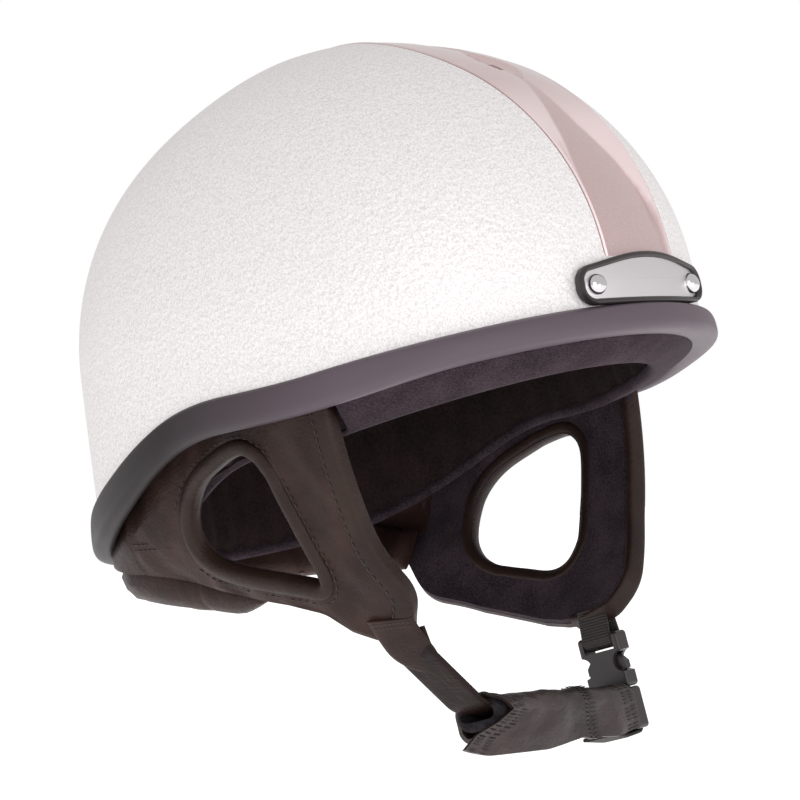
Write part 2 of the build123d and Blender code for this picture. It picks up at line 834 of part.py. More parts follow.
# Buckle's male half: a ladder frame, pockets for the prongs and the middle guide
male_top = mouth_drop + clear
male_low = ladder_bar_drop + bar_radius
with BuildPart() as buckle_male:
    with BuildSketch(along_width):
        with Locations((0, -(male_top + male_low) / 2)):
            RectangleRounded(buckle_width, male_low - male_top, bar_radius)
    extrude(amount=buckle_thick / 2, both=True)
    fillet(buckle_male.edges().filter_by(lambda edge: edge.length > window_half_width), radius=buckle_edge)
    with BuildSketch(along_width):
        with Locations((0, -(ladder_top_drop + male_low + bar_radius) / 2)):
            Rectangle(webbing_width + 2 * clear, male_low + bar_radius - ladder_top_drop)
    extrude(amount=buckle_thick, both=True, mode=Mode.SUBTRACT)
    with BuildSketch(along_width):
        with Locations((0, -(guide_top_drop + male_top) / 2)):
            Rectangle(2 * guide_half, male_top - guide_top_drop + buckle_edge)
    extrude(amount=guide_thick / 2, both=True)
    with BuildSketch(along_width):
        for side in (-1, 1):
            with Locations((side * prong_y, -prong_root_drop)):
                Circle(prong_knuckle + groove_clear)
            with Locations((side * prong_y, -(male_top + prong_root_drop) / 2)):
                Rectangle(prong_arm + 2 * clear, prong_root_drop - male_top + 2 * clear)
    extrude(amount=prong_thick / 2 + groove_clear, both=True, mode=Mode.SUBTRACT)
    with BuildSketch(across):
        with Locations((buckle_x, -ladder_bar_drop)):
            Circle(bar_radius)
    extrude(amount=(webbing_width + buckle_edge) / 2, both=True)
buckle_male.part.label = "buckle_male"


def prong(side):
    """Spring arm of the male half: round root, slim arm and a barbed head that shows in the window."""
    with BuildPart() as arm:
        with BuildSketch(along_width):
            with Locations((side * prong_y, -prong_root_drop)):
                Circle(prong_knuckle)
            with Locations((side * prong_y, -(prong_root_drop + prong_top_drop) / 2)):
                Rectangle(prong_arm, prong_root_drop - prong_top_drop)
            with BuildLine():
                outer = side * prong_out
                rise = (prong_barb_drop - prong_top_drop) / 2
                Polyline(
                    (outer, -prong_top_drop - rise),
                    (outer, -prong_barb_drop),
                    (side * prong_y, -prong_barb_drop),
                    (side * prong_y, -prong_top_drop),
                    (side * (prong_y + prong_arm / 2), -prong_top_drop),
                    close=True,
                )
            make_face()
        extrude(amount=prong_thick / 2, both=True)
    return arm.part


with BuildPart() as buckle_prong_front:
    add(prong(-1))
buckle_prong_front.part.label = "buckle_prong_front"

with BuildPart() as buckle_prong_rear:
    add(prong(1))
buckle_prong_rear.part.label = "buckle_prong_rear"

# The harness pieces of the right side mirror those of the left
for left in (side_piece_left, ear_binding_left, edge_binding_left, anchors_left):
    with BuildPart() as right:
        add(mirror(left.part, about=Plane.YZ))
    right.part.label = left.part.label.replace("left", "right")
    export_step(right.part, f"parts/{right.part.label}.step")

for piece in (
    outer_shell, vent_panel, rim_trim, foam_liner, brow_band, crown_lining, crown_pad,
    badge_surround, badge_plate, badge_rivets,
    side_piece_left, ear_binding_left, edge_binding_left, neck_band, nape_pad,
    anchors_left, harness_rivets, rivet_washers, strap_tab_right, strap_tab_left,
    strap_root, chin_strap, webbing, sleeve_leather, sleeve_fleece,
    buckle_loop, buckle_female, buckle_male, buckle_prong_front, buckle_prong_rear,
):
    export_step(piece.part, f"parts/{piece.part.label}.step")
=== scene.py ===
from math import cos, radians, sin

import bpy
import bmesh
import numpy as np
from mathutils import Matrix, Vector


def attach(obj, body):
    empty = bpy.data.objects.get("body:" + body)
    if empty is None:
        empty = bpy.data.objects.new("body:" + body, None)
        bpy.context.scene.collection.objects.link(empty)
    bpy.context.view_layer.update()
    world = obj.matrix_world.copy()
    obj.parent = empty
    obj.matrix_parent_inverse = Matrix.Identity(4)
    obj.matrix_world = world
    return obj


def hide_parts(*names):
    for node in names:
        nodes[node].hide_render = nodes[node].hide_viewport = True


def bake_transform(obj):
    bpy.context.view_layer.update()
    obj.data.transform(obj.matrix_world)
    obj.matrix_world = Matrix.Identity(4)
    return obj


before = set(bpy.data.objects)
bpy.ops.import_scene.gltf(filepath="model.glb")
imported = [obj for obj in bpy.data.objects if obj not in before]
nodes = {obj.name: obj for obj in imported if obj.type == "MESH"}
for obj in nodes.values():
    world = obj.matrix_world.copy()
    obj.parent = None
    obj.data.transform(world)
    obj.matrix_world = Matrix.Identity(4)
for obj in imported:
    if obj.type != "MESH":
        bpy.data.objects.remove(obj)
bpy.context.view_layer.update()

# The set: a pale floor well below the cap, a white room and soft boxes. The cap is shown as it
# sits on a head that isn't there, seen from its right front and a little from below.
camera_place = Vector((-0.62438, -0.57444, -0.07012))
camera_azimuth = radians(-47.57)
camera_tilt = radians(-3.07)
camera_roll = radians(-7.25)
camera_lens = 98.24
floor_height = -0.42
floor_reach = 30.0


def linear(hex_colour):
    """An sRGB hex colour as the linear colour with alpha that nodes take."""
    parts = [int(hex_colour[i:i + 2], 16) / 255 for i in (1, 3, 5)]
    return tuple(p / 12.92 if p <= 0.04045 else ((p + 0.055) / 1.055) ** 2.4 for p in parts) + (1.0,)


def fill_node(node, settings=None, links=None):
    """Sets a node's properties, its ramp's colours or its input values, and feeds its inputs. A node
    given as a link stands for its first output."""
    for key, value in (settings or {}).items():
        if key == "color_ramp":
            for element, (position, colour) in zip(node.color_ramp.elements, value):
                element.position, element.color = position, linear(colour)
        elif isinstance(key, str) and hasattr(node, key):
            setattr(node, key, value)
        else:
            node.inputs[key].default_value = value
    for key, output in (links or {}).items():
        socket = output.outputs[0] if isinstance(output, bpy.types.Node) else output
        node.id_data.links.new(socket, node.inputs[key])
    return node


def add_node(tree, kind, settings=None, links=None):
    """Adds a node with its settings and links. A texture's scale is in cells per metre."""
    return fill_node(tree.nodes.new(kind), settings, links)


def new_material(name):
    """A node material, a function that adds a shader node to it, and its shader."""
    material = bpy.data.materials.new(name)
    material.use_nodes = True
    tree = material.node_tree

    def add(kind, settings=None, links=None):
        return add_node(tree, "ShaderNode" + kind, settings, links)

    return material, add, tree.nodes["Principled BSDF"]


def add_object(name, data):
    """Adds an object to the scene."""
    obj = bpy.data.objects.new(name, data)
    bpy.context.scene.collection.objects.link(obj)
    return obj


back = Vector((sin(camera_azimuth) * cos(camera_tilt), -cos(camera_azimuth) * cos(camera_tilt), sin(camera_tilt)))
level_right = Vector((cos(camera_azimuth), sin(camera_azimuth), 0))
level_up = back.cross(level_right)
right = level_right * cos(camera_roll) + level_up * sin(camera_roll)
up = level_up * cos(camera_roll) - level_right * sin(camera_roll)
camera_data = bpy.data.cameras.new("camera")
camera_data.lens = camera_lens
camera_data.clip_start = 0.01
camera = add_object("camera", camera_data)
camera.matrix_world = Matrix.Translation(camera_place) @ Matrix((right, up, back)).transposed().to_4x4()
bpy.context.scene.camera = camera
bpy.context.scene.view_settings.view_transform = "Standard"


def soft_box(name, place, aim, size, power):
    """A square soft box that faces a point."""
    data = bpy.data.lights.new(name, "AREA")
    data.shape = "SQUARE"
    data.size = size
    data.energy = power
    away = (Vector(place) - Vector(aim)).normalized()
    turned = away.to_track_quat("Z", "Y").to_matrix().to_4x4()
    add_object(name, data).matrix_world = Matrix.Translation(place) @ turned


soft_box("front_box", (-1.5, -1.9, 0.35), (0, 0, 0), 1.6, 12)
soft_box("low_box", (0.2, -1.8, -0.25), (0, 0, -0.05), 0.9, 3.2)

room = bpy.data.worlds.new("white room")
room.use_nodes = True
bpy.context.scene.world = room
tree = room.node_tree
tree.nodes.clear()
path = add_node(tree, "ShaderNodeLightPath")
seen = add_node(tree, "ShaderNodeBackground", {"Color": (1, 1, 1, 1), "Strength": 1.0})
light = add_node(tree, "ShaderNodeBackground", {"Color": (1, 0.965, 0.968, 1), "Strength": 0.72})
mix = add_node(tree, "ShaderNodeMixShader", None, {0: path.outputs["Is Camera Ray"], 1: light, 2: seen})
add_node(tree, "ShaderNodeOutputWorld", None, {"Surface": mix})

floor_mesh = bpy.data.meshes.new("floor")
corners = [(x * floor_reach, y * floor_reach, floor_height) for x, y in ((-1, -1), (1, -1), (1, 1), (-1, 1))]
floor_mesh.from_pydata(corners, [], [(0, 1, 2, 3)])
floor = add_object("floor", floor_mesh)
paper, _, shader = new_material("white backdrop paper")
fill_node(shader, {"Base Color": linear("#FAFAFA"), "Roughness": 0.9, "Emission Color": (1, 1, 1, 1),
                   "Emission Strength": 0.6})
floor_mesh.materials.append(paper)

# Outer shell: a smooth egg form of moulded laminate, sprayed with a pale silver lacquer that dries
# to a fine granular skin. The crown is cut out for the vent panel and the trim hides the rim. Its form
# is half width, half length, middle, rise above the seat and fall below it.
shell_form = (0.1075, 0.1300, 0.0020, 0.114, 0.6)
shell_wall = 0.003
rim_y = (-0.172, -0.122, -0.087, -0.048, -0.032, -0.020, -0.010, 0.000, 0.010, 0.0185, 0.033, 0.053, 0.075, 0.100,
         0.172)
rim_z = (-0.0005, -0.0074, -0.0129, -0.0190, -0.0203, -0.0208, -0.0212, -0.0226, -0.0248, -0.0275, -0.0330, -0.0412,
         -0.0488, -0.0560, -0.0640)
rim_bend = 0.006
nape_hollow = 0.18
panel_front_half = 0.0195
panel_front_height = 0.0105
panel_wide_y = -0.052
panel_wide_half = 0.0265
panel_tail_y = 0.044
panel_tail_half = 0.005
panel_bends = (0.2, 0.15, 0.0045)
panel_start_y = (-0.158, -0.128)
panel_gap = 0.0004
shell_rows = 56
hidden_edge = 0.010


def smooth_step(share):
    """A soft ramp from 0 to 1."""
    share = np.clip(share, 0, 1)
    return share * share * (3 - 2 * share)


def unit(vectors):
    """The same directions with a length of 1."""
    return vectors / np.linalg.norm(vectors, axis=-1, keepdims=True)


def lift_off(form, place, lift):
    """Points on an egg form, moved outwards by a lift."""
    half, reach, middle, rise, fall = form
    x, y, z = np.moveaxis(place, -1, 0)
    out = unit(np.stack((x / half**2, (y - middle) / reach**2, z / np.where(z > 0, rise, fall) ** 2), -1))
    return place + out * np.broadcast_to(np.asarray(lift, float), x.shape)[..., None]


def on_round(form, turn, height, lift=0.0):
    """Points of an egg form at turns from the brow and heights, lifted off it."""
    half, reach, middle, rise, fall = form
    turn, height = np.broadcast_arrays(np.asarray(turn, float), np.asarray(height, float))
    waist = np.sqrt(np.clip(1 - (height / np.where(height > 0, rise, fall)) ** 2, 0, 1))
    waist = waist * (1 - nape_hollow * smooth_step(-np.cos(turn) / 0.7) * np.clip(height / rise, 0, 1) ** 6)
    place = np.stack((half * waist * np.sin(turn), middle - reach * waist * np.cos(turn), height), -1)
    return lift_off(form, place, lift)


def rim_height(y):
    """Height of the rim along the cap, with soft bends."""
    shares = np.linspace(-1.5, 1.5, 13)
    weights = np.exp(-shares**2)
    samples = [np.interp(y + share * rim_bend, rim_y, rim_z) for share in shares]
    return np.tensordot(weights / weights.sum(), np.array(samples), 1)


def on_rim(turn, drop, lift=0.0, form=shell_form):
    """Points at a drop below the rim line, lifted off the shell or another form."""
    turn = np.asarray(turn, float)
    height = np.full(turn.shape, -0.03)
    for _ in range(10):
        height = rim_height(on_round(shell_form, turn, height)[..., 1]) - drop
    return on_round(form, turn, height, lift)


def fillet_path(corners, radii, step=0.0008, closed=False):
    """A line through corners, rounded by a radius at each, as evenly spaced points."""
    points = [np.array(c, float) for c in corners]
    count = len(points)
    line = []
    for i, corner in enumerate(points):
        if not closed and i in (0, count - 1):
            line.append(corner)
            continue
        into = points[i - 1] - corner
        away = points[(i + 1) % count] - corner
        long_in, long_out = np.linalg.norm(into), np.linalg.norm(away)
        into, away = into / long_in, away / long_out
        half_turn = (np.pi - np.arccos(np.clip(into @ away, -1, 1))) / 2
        radius = radii[i if closed else i - 1]
        reach = min(radius * np.tan(half_turn), 0.49 * long_in, 0.49 * long_out)
        radius = reach / max(np.tan(half_turn), 1e-9)
        middle = corner + (into + away) / np.linalg.norm(into + away) * radius / np.cos(half_turn)
        start, end = corner + into * reach - middle, corner + away * reach - middle
        for share in np.linspace(0, 1, 9):
            arm = start * (1 - share) + end * share
            line.append(middle + arm / max(np.linalg.norm(arm), 1e-9) * radius)
    return even_points(np.array(line), step, closed)


def even_points(line, step, closed=False):
    """The same line with its points an even step apart."""
    if closed:
        line = np.vstack((line, line[:1]))
    runs = np.r_[0, np.cumsum(np.linalg.norm(np.diff(line, axis=0), axis=1))]
    keep = np.r_[True, np.diff(runs) > 1e-9]
    line, runs = line[keep], runs[keep]
    count = max(int(round(runs[-1] / step)), 3)
    at = np.linspace(0, runs[-1], count + 1)
    if closed:
        at = at[:-1]
    return np.stack([np.interp(at, runs, line[:, k]) for k in range(line.shape[1])], -1)


def build_mesh(name, points, faces, uvs):
    """A mesh whose UV layer runs in metres along and around the piece."""
    mesh = bpy.data.meshes.new(name)
    mesh.from_pydata(points.reshape(-1, 3).tolist(), [], faces)
    mesh.uv_layers.new(name="run").data.foreach_set("uv", np.array(uvs, np.float32).ravel())
    return mesh


def grid_runs(grid):
    """Mean runs along and around a lattice, from its first row and its first column."""
    return (np.r_[0, np.linalg.norm(np.diff(grid, axis=axis), axis=2).mean(1 - axis).cumsum()] for axis in (0, 1))


def lattice(name, grid, wrap_rows=False, wrap_columns=False, sharp=40):
    """A mesh object through a lattice of points, smooth except across sharp turns."""
    rows, columns = grid.shape[:2]
    faces, uvs = [], []
    along, around = grid_runs(grid)
    v_at = np.r_[along, along[-1] + along[-1] / max(rows - 1, 1)]
    u_at = np.r_[around, around[-1] + around[-1] / max(columns - 1, 1)]
    for i in range(rows if wrap_rows else rows - 1):
        low, high = i * columns, ((i + 1) % rows) * columns
        for j in range(columns if wrap_columns else columns - 1):
            k = (j + 1) % columns
            faces.append((low + j, low + k, high + k, high + j))
            uvs.extend((u_at[j + a], v_at[i + b]) for a, b in ((0, 0), (1, 0), (1, 1), (0, 1)))
    return finish_mesh(name, build_mesh(name, grid, faces, uvs), sharp, wrap_rows, wrap_columns)


def finish_mesh(name, mesh, sharp, wrap_rows=True, wrap_columns=True):
    """Drops points without faces, closes the open ends of a swept mesh and turns its faces outwards."""
    work = bmesh.new()
    work.from_mesh(mesh)
    bmesh.ops.delete(work, geom=[v for v in work.verts if not v.link_faces], context="VERTS")
    if wrap_rows != wrap_columns:
        bmesh.ops.holes_fill(work, edges=[e for e in work.edges if e.is_boundary], sides=0)
    bmesh.ops.recalc_face_normals(work, faces=work.faces)
    work.to_mesh(mesh)
    work.free()
    mesh.polygons.foreach_set("use_smooth", [True] * len(mesh.polygons))
    mesh.set_sharp_from_angle(angle=radians(sharp))
    return add_object(name, mesh)


def slab(name, top, bottom, wrap=False, opened=None, sharp=40):
    """A thick sheet between two lattices of points, with walls round its borders and openings."""
    rows, columns = top.shape[:2]
    cells = np.ones((rows - 1, columns if wrap else columns - 1), bool)
    if opened is not None:
        cells[opened] = False
    count = rows * columns
    along, around = grid_runs(top)
    faces, uvs = [], []

    def add_wall(a, b):
        faces.append((a, b, b + count, a + count))
        uvs.extend(((0, 0), (0.001, 0), (0.001, 0.001), (0, 0.001)))

    for i in range(cells.shape[0]):
        for j in range(cells.shape[1]):
            if not cells[i, j]:
                continue
            k = (j + 1) % columns
            a, b, c, d = i * columns + j, i * columns + k, (i + 1) * columns + k, (i + 1) * columns + j
            faces.append((a, b, c, d))
            faces.append((d + count, c + count, b + count, a + count))
            u_next = around[j + 1] if j + 1 < columns else around[-1] * columns / (columns - 1)
            corner = ((around[j], along[i]), (u_next, along[i]), (u_next, along[i + 1]), (around[j], along[i + 1]))
            uvs.extend(corner + corner[::-1])
            if i == 0 or not cells[i - 1, j]:
                add_wall(b, a)
            if i == cells.shape[0] - 1 or not cells[i + 1, j]:
                add_wall(d, c)
            if (not wrap and j == 0) or not cells[i, j - 1]:
                add_wall(a, d)
            if (not wrap and j == cells.shape[1] - 1) or not cells[i, k if wrap else j + 1]:
                add_wall(c, b)
    points = np.concatenate((top.reshape(-1, 3), bottom.reshape(-1, 3)))
    return finish_mesh(name, build_mesh(name, points, faces, uvs), sharp)


def paint(obj, material):
    """Gives a piece one material."""
    obj.data.materials.clear()
    obj.data.materials.append(material)


def dress(obj, material, body, slot, *replaced):
    """Gives a piece its material and body, and hides the nodes that it stands for."""
    paint(obj, material)
    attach(obj, body)
    if replaced:
        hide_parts(*replaced)
    return obj


def granular_lacquer():
    """Silver-white lacquer sprayed coarse. Its grains are drawn 1.6 to 2 mm wide, coarser than the real
    ones, so that they show."""
    material, add, shader = new_material("granular silver lacquer")
    place = add("TexCoord").outputs["Object"]
    grain = add("TexNoise", {"Scale": 640, "Detail": 3, "Roughness": 0.6}, {"Vector": place})
    cells = add("TexVoronoi", {"Scale": 520, "Randomness": 1.0}, {"Vector": place})
    fleck = add("TexNoise", {"Scale": 1500, "Detail": 1}, {"Vector": place})
    patch = add("TexNoise", {"Scale": 30, "Detail": 2}, {"Vector": place})
    mixed = add("Math", {"operation": "ADD"}, {0: grain, 1: cells})
    bump = add("Bump", {"Strength": 0.55, "Distance": 0.0005}, {"Height": mixed})
    silver = add("ValToRGB", {"color_ramp": ((0.36, "#DBD7D7"), (0.56, "#EEECEC"))}, {"Fac": fleck})
    rough = add("MapRange", {"To Min": 0.36, "To Max": 0.5}, {"Value": patch})
    fill_node(shader, {"Metallic": 0.12, "Coat Weight": 0.12, "Coat Roughness": 0.25},
              {"Base Color": silver, "Roughness": rough, "Normal": bump})
    return material


panel_line = fillet_path(
    [(panel_front_half, y) for y in panel_start_y]
    + [(panel_wide_half, panel_wide_y), (panel_tail_half, panel_tail_y), (0, panel_tail_y)], panel_bends, 0.0006)


def panel_half(y):
    """Half width of the panel at places along the cap, at its plan outline."""
    order = np.argsort(panel_line[:, 1], kind="stable")
    return np.interp(y, panel_line[order, 1], panel_line[order, 0])


def shell_y(x, z):
    """Place along the cap of the brow side of the shell, at a distance from the middle and a height."""
    half, reach, middle, rise, fall = shell_form
    tall = np.where(np.asarray(z) > 0, rise, fall)
    return middle - reach * np.sqrt(np.clip(1 - (x / half) ** 2 - (z / tall) ** 2, 0, 1))


front_y = shell_y(panel_front_half, panel_front_height)
side_line = panel_line[panel_line[:, 1] > front_y]
front_line = np.stack((np.linspace(-1, 1, 49) * panel_front_half, np.full(49, np.nan)), -1)
opening = np.vstack((front_line, side_line, (side_line * (-1, 1))[::-1][1:]))
across_share = opening[:, 0] / shell_form[0]
front_waist = np.sqrt(1 - (panel_front_height / shell_form[3]) ** 2)
along_share = np.where(np.isnan(opening[:, 1]), -np.sqrt(np.clip(front_waist**2 - across_share**2, 0, 1)),
                       (opening[:, 1] - shell_form[2]) / shell_form[1])
turns = np.unwrap(np.arctan2(across_share, -along_share))
starts = np.arccos(np.clip(np.hypot(across_share, along_share), 0, 1))
ends = np.arcsin(on_rim(turns, hidden_edge)[:, 2] / shell_form[4])


def shell_rows_at(lift, gap):
    """Rows of the shell from the panel's edge down to the rim."""
    fall_angles = starts[None, :] + (ends - starts)[None, :] * gap[:, None]
    heights = np.where(fall_angles > 0, shell_form[3], shell_form[4]) * np.sin(fall_angles)
    return on_round(shell_form, np.broadcast_to(turns, heights.shape), heights, lift)


gaps = np.r_[0.0, 0.004, 0.012, np.linspace(0.03, 1, shell_rows)]
outer = shell_rows_at(0.0, gaps)
outer[0] = shell_rows_at(-0.0007, np.array([0.0]))[0]
shell = slab("outer_shell_skin", outer, shell_rows_at(-shell_wall, gaps), True, sharp=55)
dress(shell, granular_lacquer(), "cap", "shell_plastic", "outer_shell")

# Vent panel: a separate glossy moulding let into the crown. A flat gutter runs up from the badge
# between sloping walls, and each vent sits at the back of its own lens-shaped scoop.
panel_wall = 0.0024
lip_width = 0.0013
gutter_angles = (5.0, 10.4, 16.4, 23.0, 29.8, 35.2, 40.5, 47.0, 50.0, 180.0)
gutter_half_at = (0.0180, 0.0180, 0.0172, 0.0155, 0.0118, 0.0075, 0.0038, 0.0004, 0.0003, 0.0003)
gutter_sink_at = (0.0009, 0.0013, 0.0022, 0.0032, 0.0038, 0.0040, 0.0030, 0.0016, 0.0014, 0.0012)
vent_angles = (55.3, 68.0, 80.7, 93.4)
vent_half = 0.0038
vent_long = 0.0068
vent_share = 0.34
scoop_half = 0.0090
scoop_front = 0.0155
scoop_rear = 0.0170
scoop_sink = 0.0017
lip_rise = 0.00035
tail_run = 0.03
# Soft edge and crown angles of the painted light on the gutter's walls, which fades out up the crown.
painted_light_soft = 0.0022
painted_light_fade_angles = (34, 50)
panel_step = 0.0007
panel_columns = 64


def gloss_lacquer():
    """Injection moulded ABS under a clear coat over taupe pearl. The gutter's walls carry painted light, a pale pink
    that stands for the bright sky they reflect, and its flecks are drawn 0.5 mm wide so that they show."""
    material, add, shader = new_material("taupe pearl lacquered ABS")
    place = add("TexCoord").outputs["Object"]
    pearl = add("TexNoise", {"Scale": 2200, "Detail": 1}, {"Vector": place})
    taupe = add("ValToRGB", {"color_ramp": ((0.3, "#C3ABA9"), (0.7, "#D0B9B7"))}, {"Fac": pearl})
    # Painted light: the walls marked by this attribute are mixed towards a pale pink for the sky they reflect.
    wall = add("Attribute", {"attribute_name": "gutter_wall"})
    paler = add("MixRGB", {"Color2": linear("#F6E2E2")}, {"Fac": wall.outputs["Fac"], "Color1": taupe})
    fill_node(shader, {"Metallic": 0.55, "Roughness": 0.32, "Coat Weight": 0.8, "Coat Roughness": 0.06},
              {"Base Color": paler})
    return material


def crown_place(angle):
    """Place along the cap and height of the crown line, at an angle up from the brow."""
    angle = np.radians(angle)
    return shell_form[2] - shell_form[1] * np.cos(angle), shell_form[3] * np.sin(angle)


fine_angles = np.linspace(0, 180, 4001)
fine_y, fine_z = crown_place(fine_angles)
run = np.r_[0, np.hypot(np.diff(fine_y), np.diff(fine_z)).cumsum()]
start_run = np.interp(np.degrees(np.arcsin(panel_front_height / shell_form[3])), fine_angles, run)
end_run = np.interp(panel_tail_y, fine_y, run)
stations = np.linspace(start_run, end_run, int((end_run - start_run) / panel_step) + 1)
station_y = np.interp(stations, run, fine_y)
station_angle = np.interp(stations, run, fine_angles)
halves = np.maximum(panel_half(station_y) - panel_gap, 0.0004)
shares = np.linspace(-1, 1, panel_columns + 1)
inner_half = np.minimum(vent_half, vent_share * halves)
across = np.where(
    np.abs(shares)[None, :] <= vent_share,
    shares[None, :] / vent_share * inner_half[:, None],
    np.sign(shares)[None, :] * (inner_half[:, None] + (np.abs(shares)[None, :] - vent_share) / (1 - vent_share)
                                * (halves - inner_half)[:, None]))
wall_top = halves - lip_width
floor_half = np.minimum(np.interp(station_angle, gutter_angles, gutter_half_at), wall_top - 0.0012)
slope = (wall_top[:, None] - np.abs(across)) / np.maximum(wall_top - floor_half, 0.001)[:, None]
gutter_sink = np.interp(station_angle, gutter_angles, gutter_sink_at)[:, None]
sink = gutter_sink * np.clip(slope, 0, 1) * smooth_step((end_run - stations) / tail_run)[:, None]
vent_runs = [np.interp(angle, fine_angles, run) for angle in vent_angles]
for vent_run in vent_runs:
    ahead = vent_run - stations
    reach_at = np.where(ahead > 0, ahead / scoop_front, -ahead / scoop_rear)
    lens_half = scoop_half * np.clip(1 - reach_at**2, 0, 1)
    inside = np.clip(1 - np.abs(across) / np.maximum(lens_half, 1e-6)[:, None], 0, 1)
    sink += scoop_sink * np.clip(inside * 3.0, 0, 1) * (lens_half > 0)[:, None]
lip = np.clip((np.abs(across) - wall_top[:, None]) / lip_width, 0, 1)
raise_lip = lip_rise * np.sin(np.pi * lip)
squeeze = np.sqrt(np.clip(1 - (across / shell_form[0])**2, 0, 1))
angle_at = np.radians(station_angle)[:, None]
surface = np.stack((across, shell_form[2] - shell_form[1] * squeeze * np.cos(angle_at),
                    shell_form[3] * squeeze * np.sin(angle_at)), -1)
face = lift_off(shell_form, surface, raise_lip - sink)
under = lift_off(shell_form, surface, raise_lip - sink - panel_wall)
cell_run = (stations[1:] + stations[:-1]) / 2
cell_share = np.abs(shares[1:] + shares[:-1]) / 2
open_rows = np.any([np.abs(cell_run - vent_run) < vent_long / 2 for vent_run in vent_runs], axis=0)
vents = open_rows[:, None] & (cell_share < vent_share)[None, :]
vent_panel = slab("vent_panel_moulding", face, under, False, vents, 32)
panel_places = np.array([vertex.co for vertex in vent_panel.data.vertices])
# Painted light: a mask that is 1 on the gutter's walls and 0 on its floor, weakened up the crown, for the walls' pale
# pink.
painted_wall_light = smooth_step(
    (np.abs(panel_places[:, 0]) - np.interp(panel_places[:, 1], station_y, floor_half)) / painted_light_soft)
angle_at = np.interp(panel_places[:, 1], station_y, station_angle)
painted_wall_light *= 1 - 0.75 * smooth_step((angle_at - painted_light_fade_angles[0]) / (painted_light_fade_angles[1] - painted_light_fade_angles[0]))
painted_light_layer = vent_panel.data.attributes.new("gutter_wall", "FLOAT", "POINT")
painted_light_layer.data.foreach_set("value", painted_wall_light.astype(np.float32))
dress(vent_panel, gloss_lacquer(), "cap", "panel_plastic", "vent_panel")

# Badge: a bare metal plate in a black moulded surround, riveted to the brow at both ends. Its foot
# is straight along the trim, its top is arched, and its ends stand off the round brow.
badge_half = 0.034
badge_corners = ((-badge_half, -0.0066), (badge_half, -0.0066), (badge_half, 0.0064), (0, 0.0134),
                 (-badge_half, 0.0064))
badge_radii = (0.0062, 0.0062, 0.006, 0.09, 0.006)
plate_middle = (0.75, 0.0022)
surround_width = 0.0022
surround_proud = 0.0020
plate_proud = 0.0013
badge_stand = 1.3
badge_rivet_x = 0.0270
badge_rivet_z = 0.0004
badge_rivet_radius = 0.0037
badge_rivet_rise = 0.0016


def on_brow(flat_points, lift):
    """Points across and up on the brow, laid on the shell and lifted off it, more so at the badge's ends."""
    x, z = flat_points[..., 0], flat_points[..., 1]
    place = np.stack((x, shell_y(x, z), z), -1)
    ends = 1 + badge_stand * (x / badge_half) ** 2 * (0.5 + 0.5 * smooth_step((0.014 - z) / 0.020))
    return lift_off(shell_form, place, lift * ends)


def directions(line, closed=True):
    """Unit directions along a line of points."""
    return unit(np.roll(line, -1, 0) - np.roll(line, 1, 0) if closed else np.gradient(line, axis=0))


def beside(line, closed=True):
    """Unit directions to the left of a flat line of points."""
    return directions(line, closed)[:, ::-1] * (-1, 1)


def inset(loop, by):
    """A closed flat outline moved inwards, for outlines that run counter-clockwise."""
    return loop + beside(loop) * by


def moulded_black():
    """Moulded black nylon: an even, slightly soft gloss with a faint spark-eroded grain."""
    material, add, shader = new_material("moulded black nylon")
    place = add("TexCoord").outputs["Object"]
    grain = add("TexNoise", {"Scale": 1800, "Detail": 2}, {"Vector": place})
    bump = add("Bump", {"Strength": 0.12, "Distance": 0.0002}, {"Height": grain})
    fill_node(shader, {"Base Color": linear("#2A2526"), "Roughness": 0.34}, {"Normal": bump})
    return material


def brushed_plate():
    """Bright rolled aluminium, brushed along the plate: grain lines 0.24 mm apart and 8 mm long."""
    material, add, shader = new_material("brushed aluminium plate")
    place = add("TexCoord").outputs["Object"]
    stretch = add("Mapping", {"Scale": (120, 120, 4200)}, {"Vector": place})
    grain = add("TexNoise", {"Scale": 1.0, "Detail": 2}, {"Vector": stretch})
    bump = add("Bump", {"Strength": 0.08, "Distance": 0.0002}, {"Height": grain})
    rough = add("MapRange", {"To Min": 0.26, "To Max": 0.4}, {"Value": grain})
    fill_node(shader, {"Base Color": linear("#DEDCDD"), "Metallic": 1.0},
              {"Roughness": rough, "Normal": bump})
    return material


def polished_steel():
    """Polished plated steel: bright, with a faint haze that spreads its highlights."""
    material, add, shader = new_material("polished plated steel")
    place = add("TexCoord").outputs["Object"]
    haze = add("TexNoise", {"Scale": 900, "Detail": 2}, {"Vector": place})
    rough = add("MapRange", {"To Min": 0.1, "To Max": 0.2}, {"Value": haze})
    fill_node(shader, {"Base Color": linear("#D8D8DA"), "Metallic": 1.0}, {"Roughness": rough})
    return material


def join(name, pieces):
    """Joins mesh objects into the first and names it."""
    with bpy.context.temp_override(active_object=pieces[0], selected_editable_objects=pieces):
        bpy.ops.object.join()
    pieces[0].name = name
    return pieces[0]


black_nylon = moulded_black()
plated_steel = polished_steel()
badge_loop = fillet_path(badge_corners, badge_radii, 0.0008, True)
surround_shares = [(0.0, 0.1), (0.05, 0.75), (0.3, 1.0), (0.7, 1.0), (0.95, 0.75), (1.0, 0.1)]
rings = [on_brow(inset(badge_loop, share * surround_width), 0.00015 + rise * surround_proud)
         for share, rise in surround_shares]
surround = lattice("badge_surround_ring", np.array(rings), True, True, 60)
dress(surround, black_nylon, "cap", "black_plastic", "badge_surround")
plate_loop = inset(badge_loop, surround_width - 0.0002)


def plate_ring(share, lift, ends):
    """A ring of the plate, a share of the way from its edge to its middle line, which runs between the ends."""
    middle = np.stack((ends[:, 0] * plate_middle[0], np.full(len(ends), plate_middle[1])), -1)
    return on_brow(plate_loop * (1 - share) + middle * share, lift)


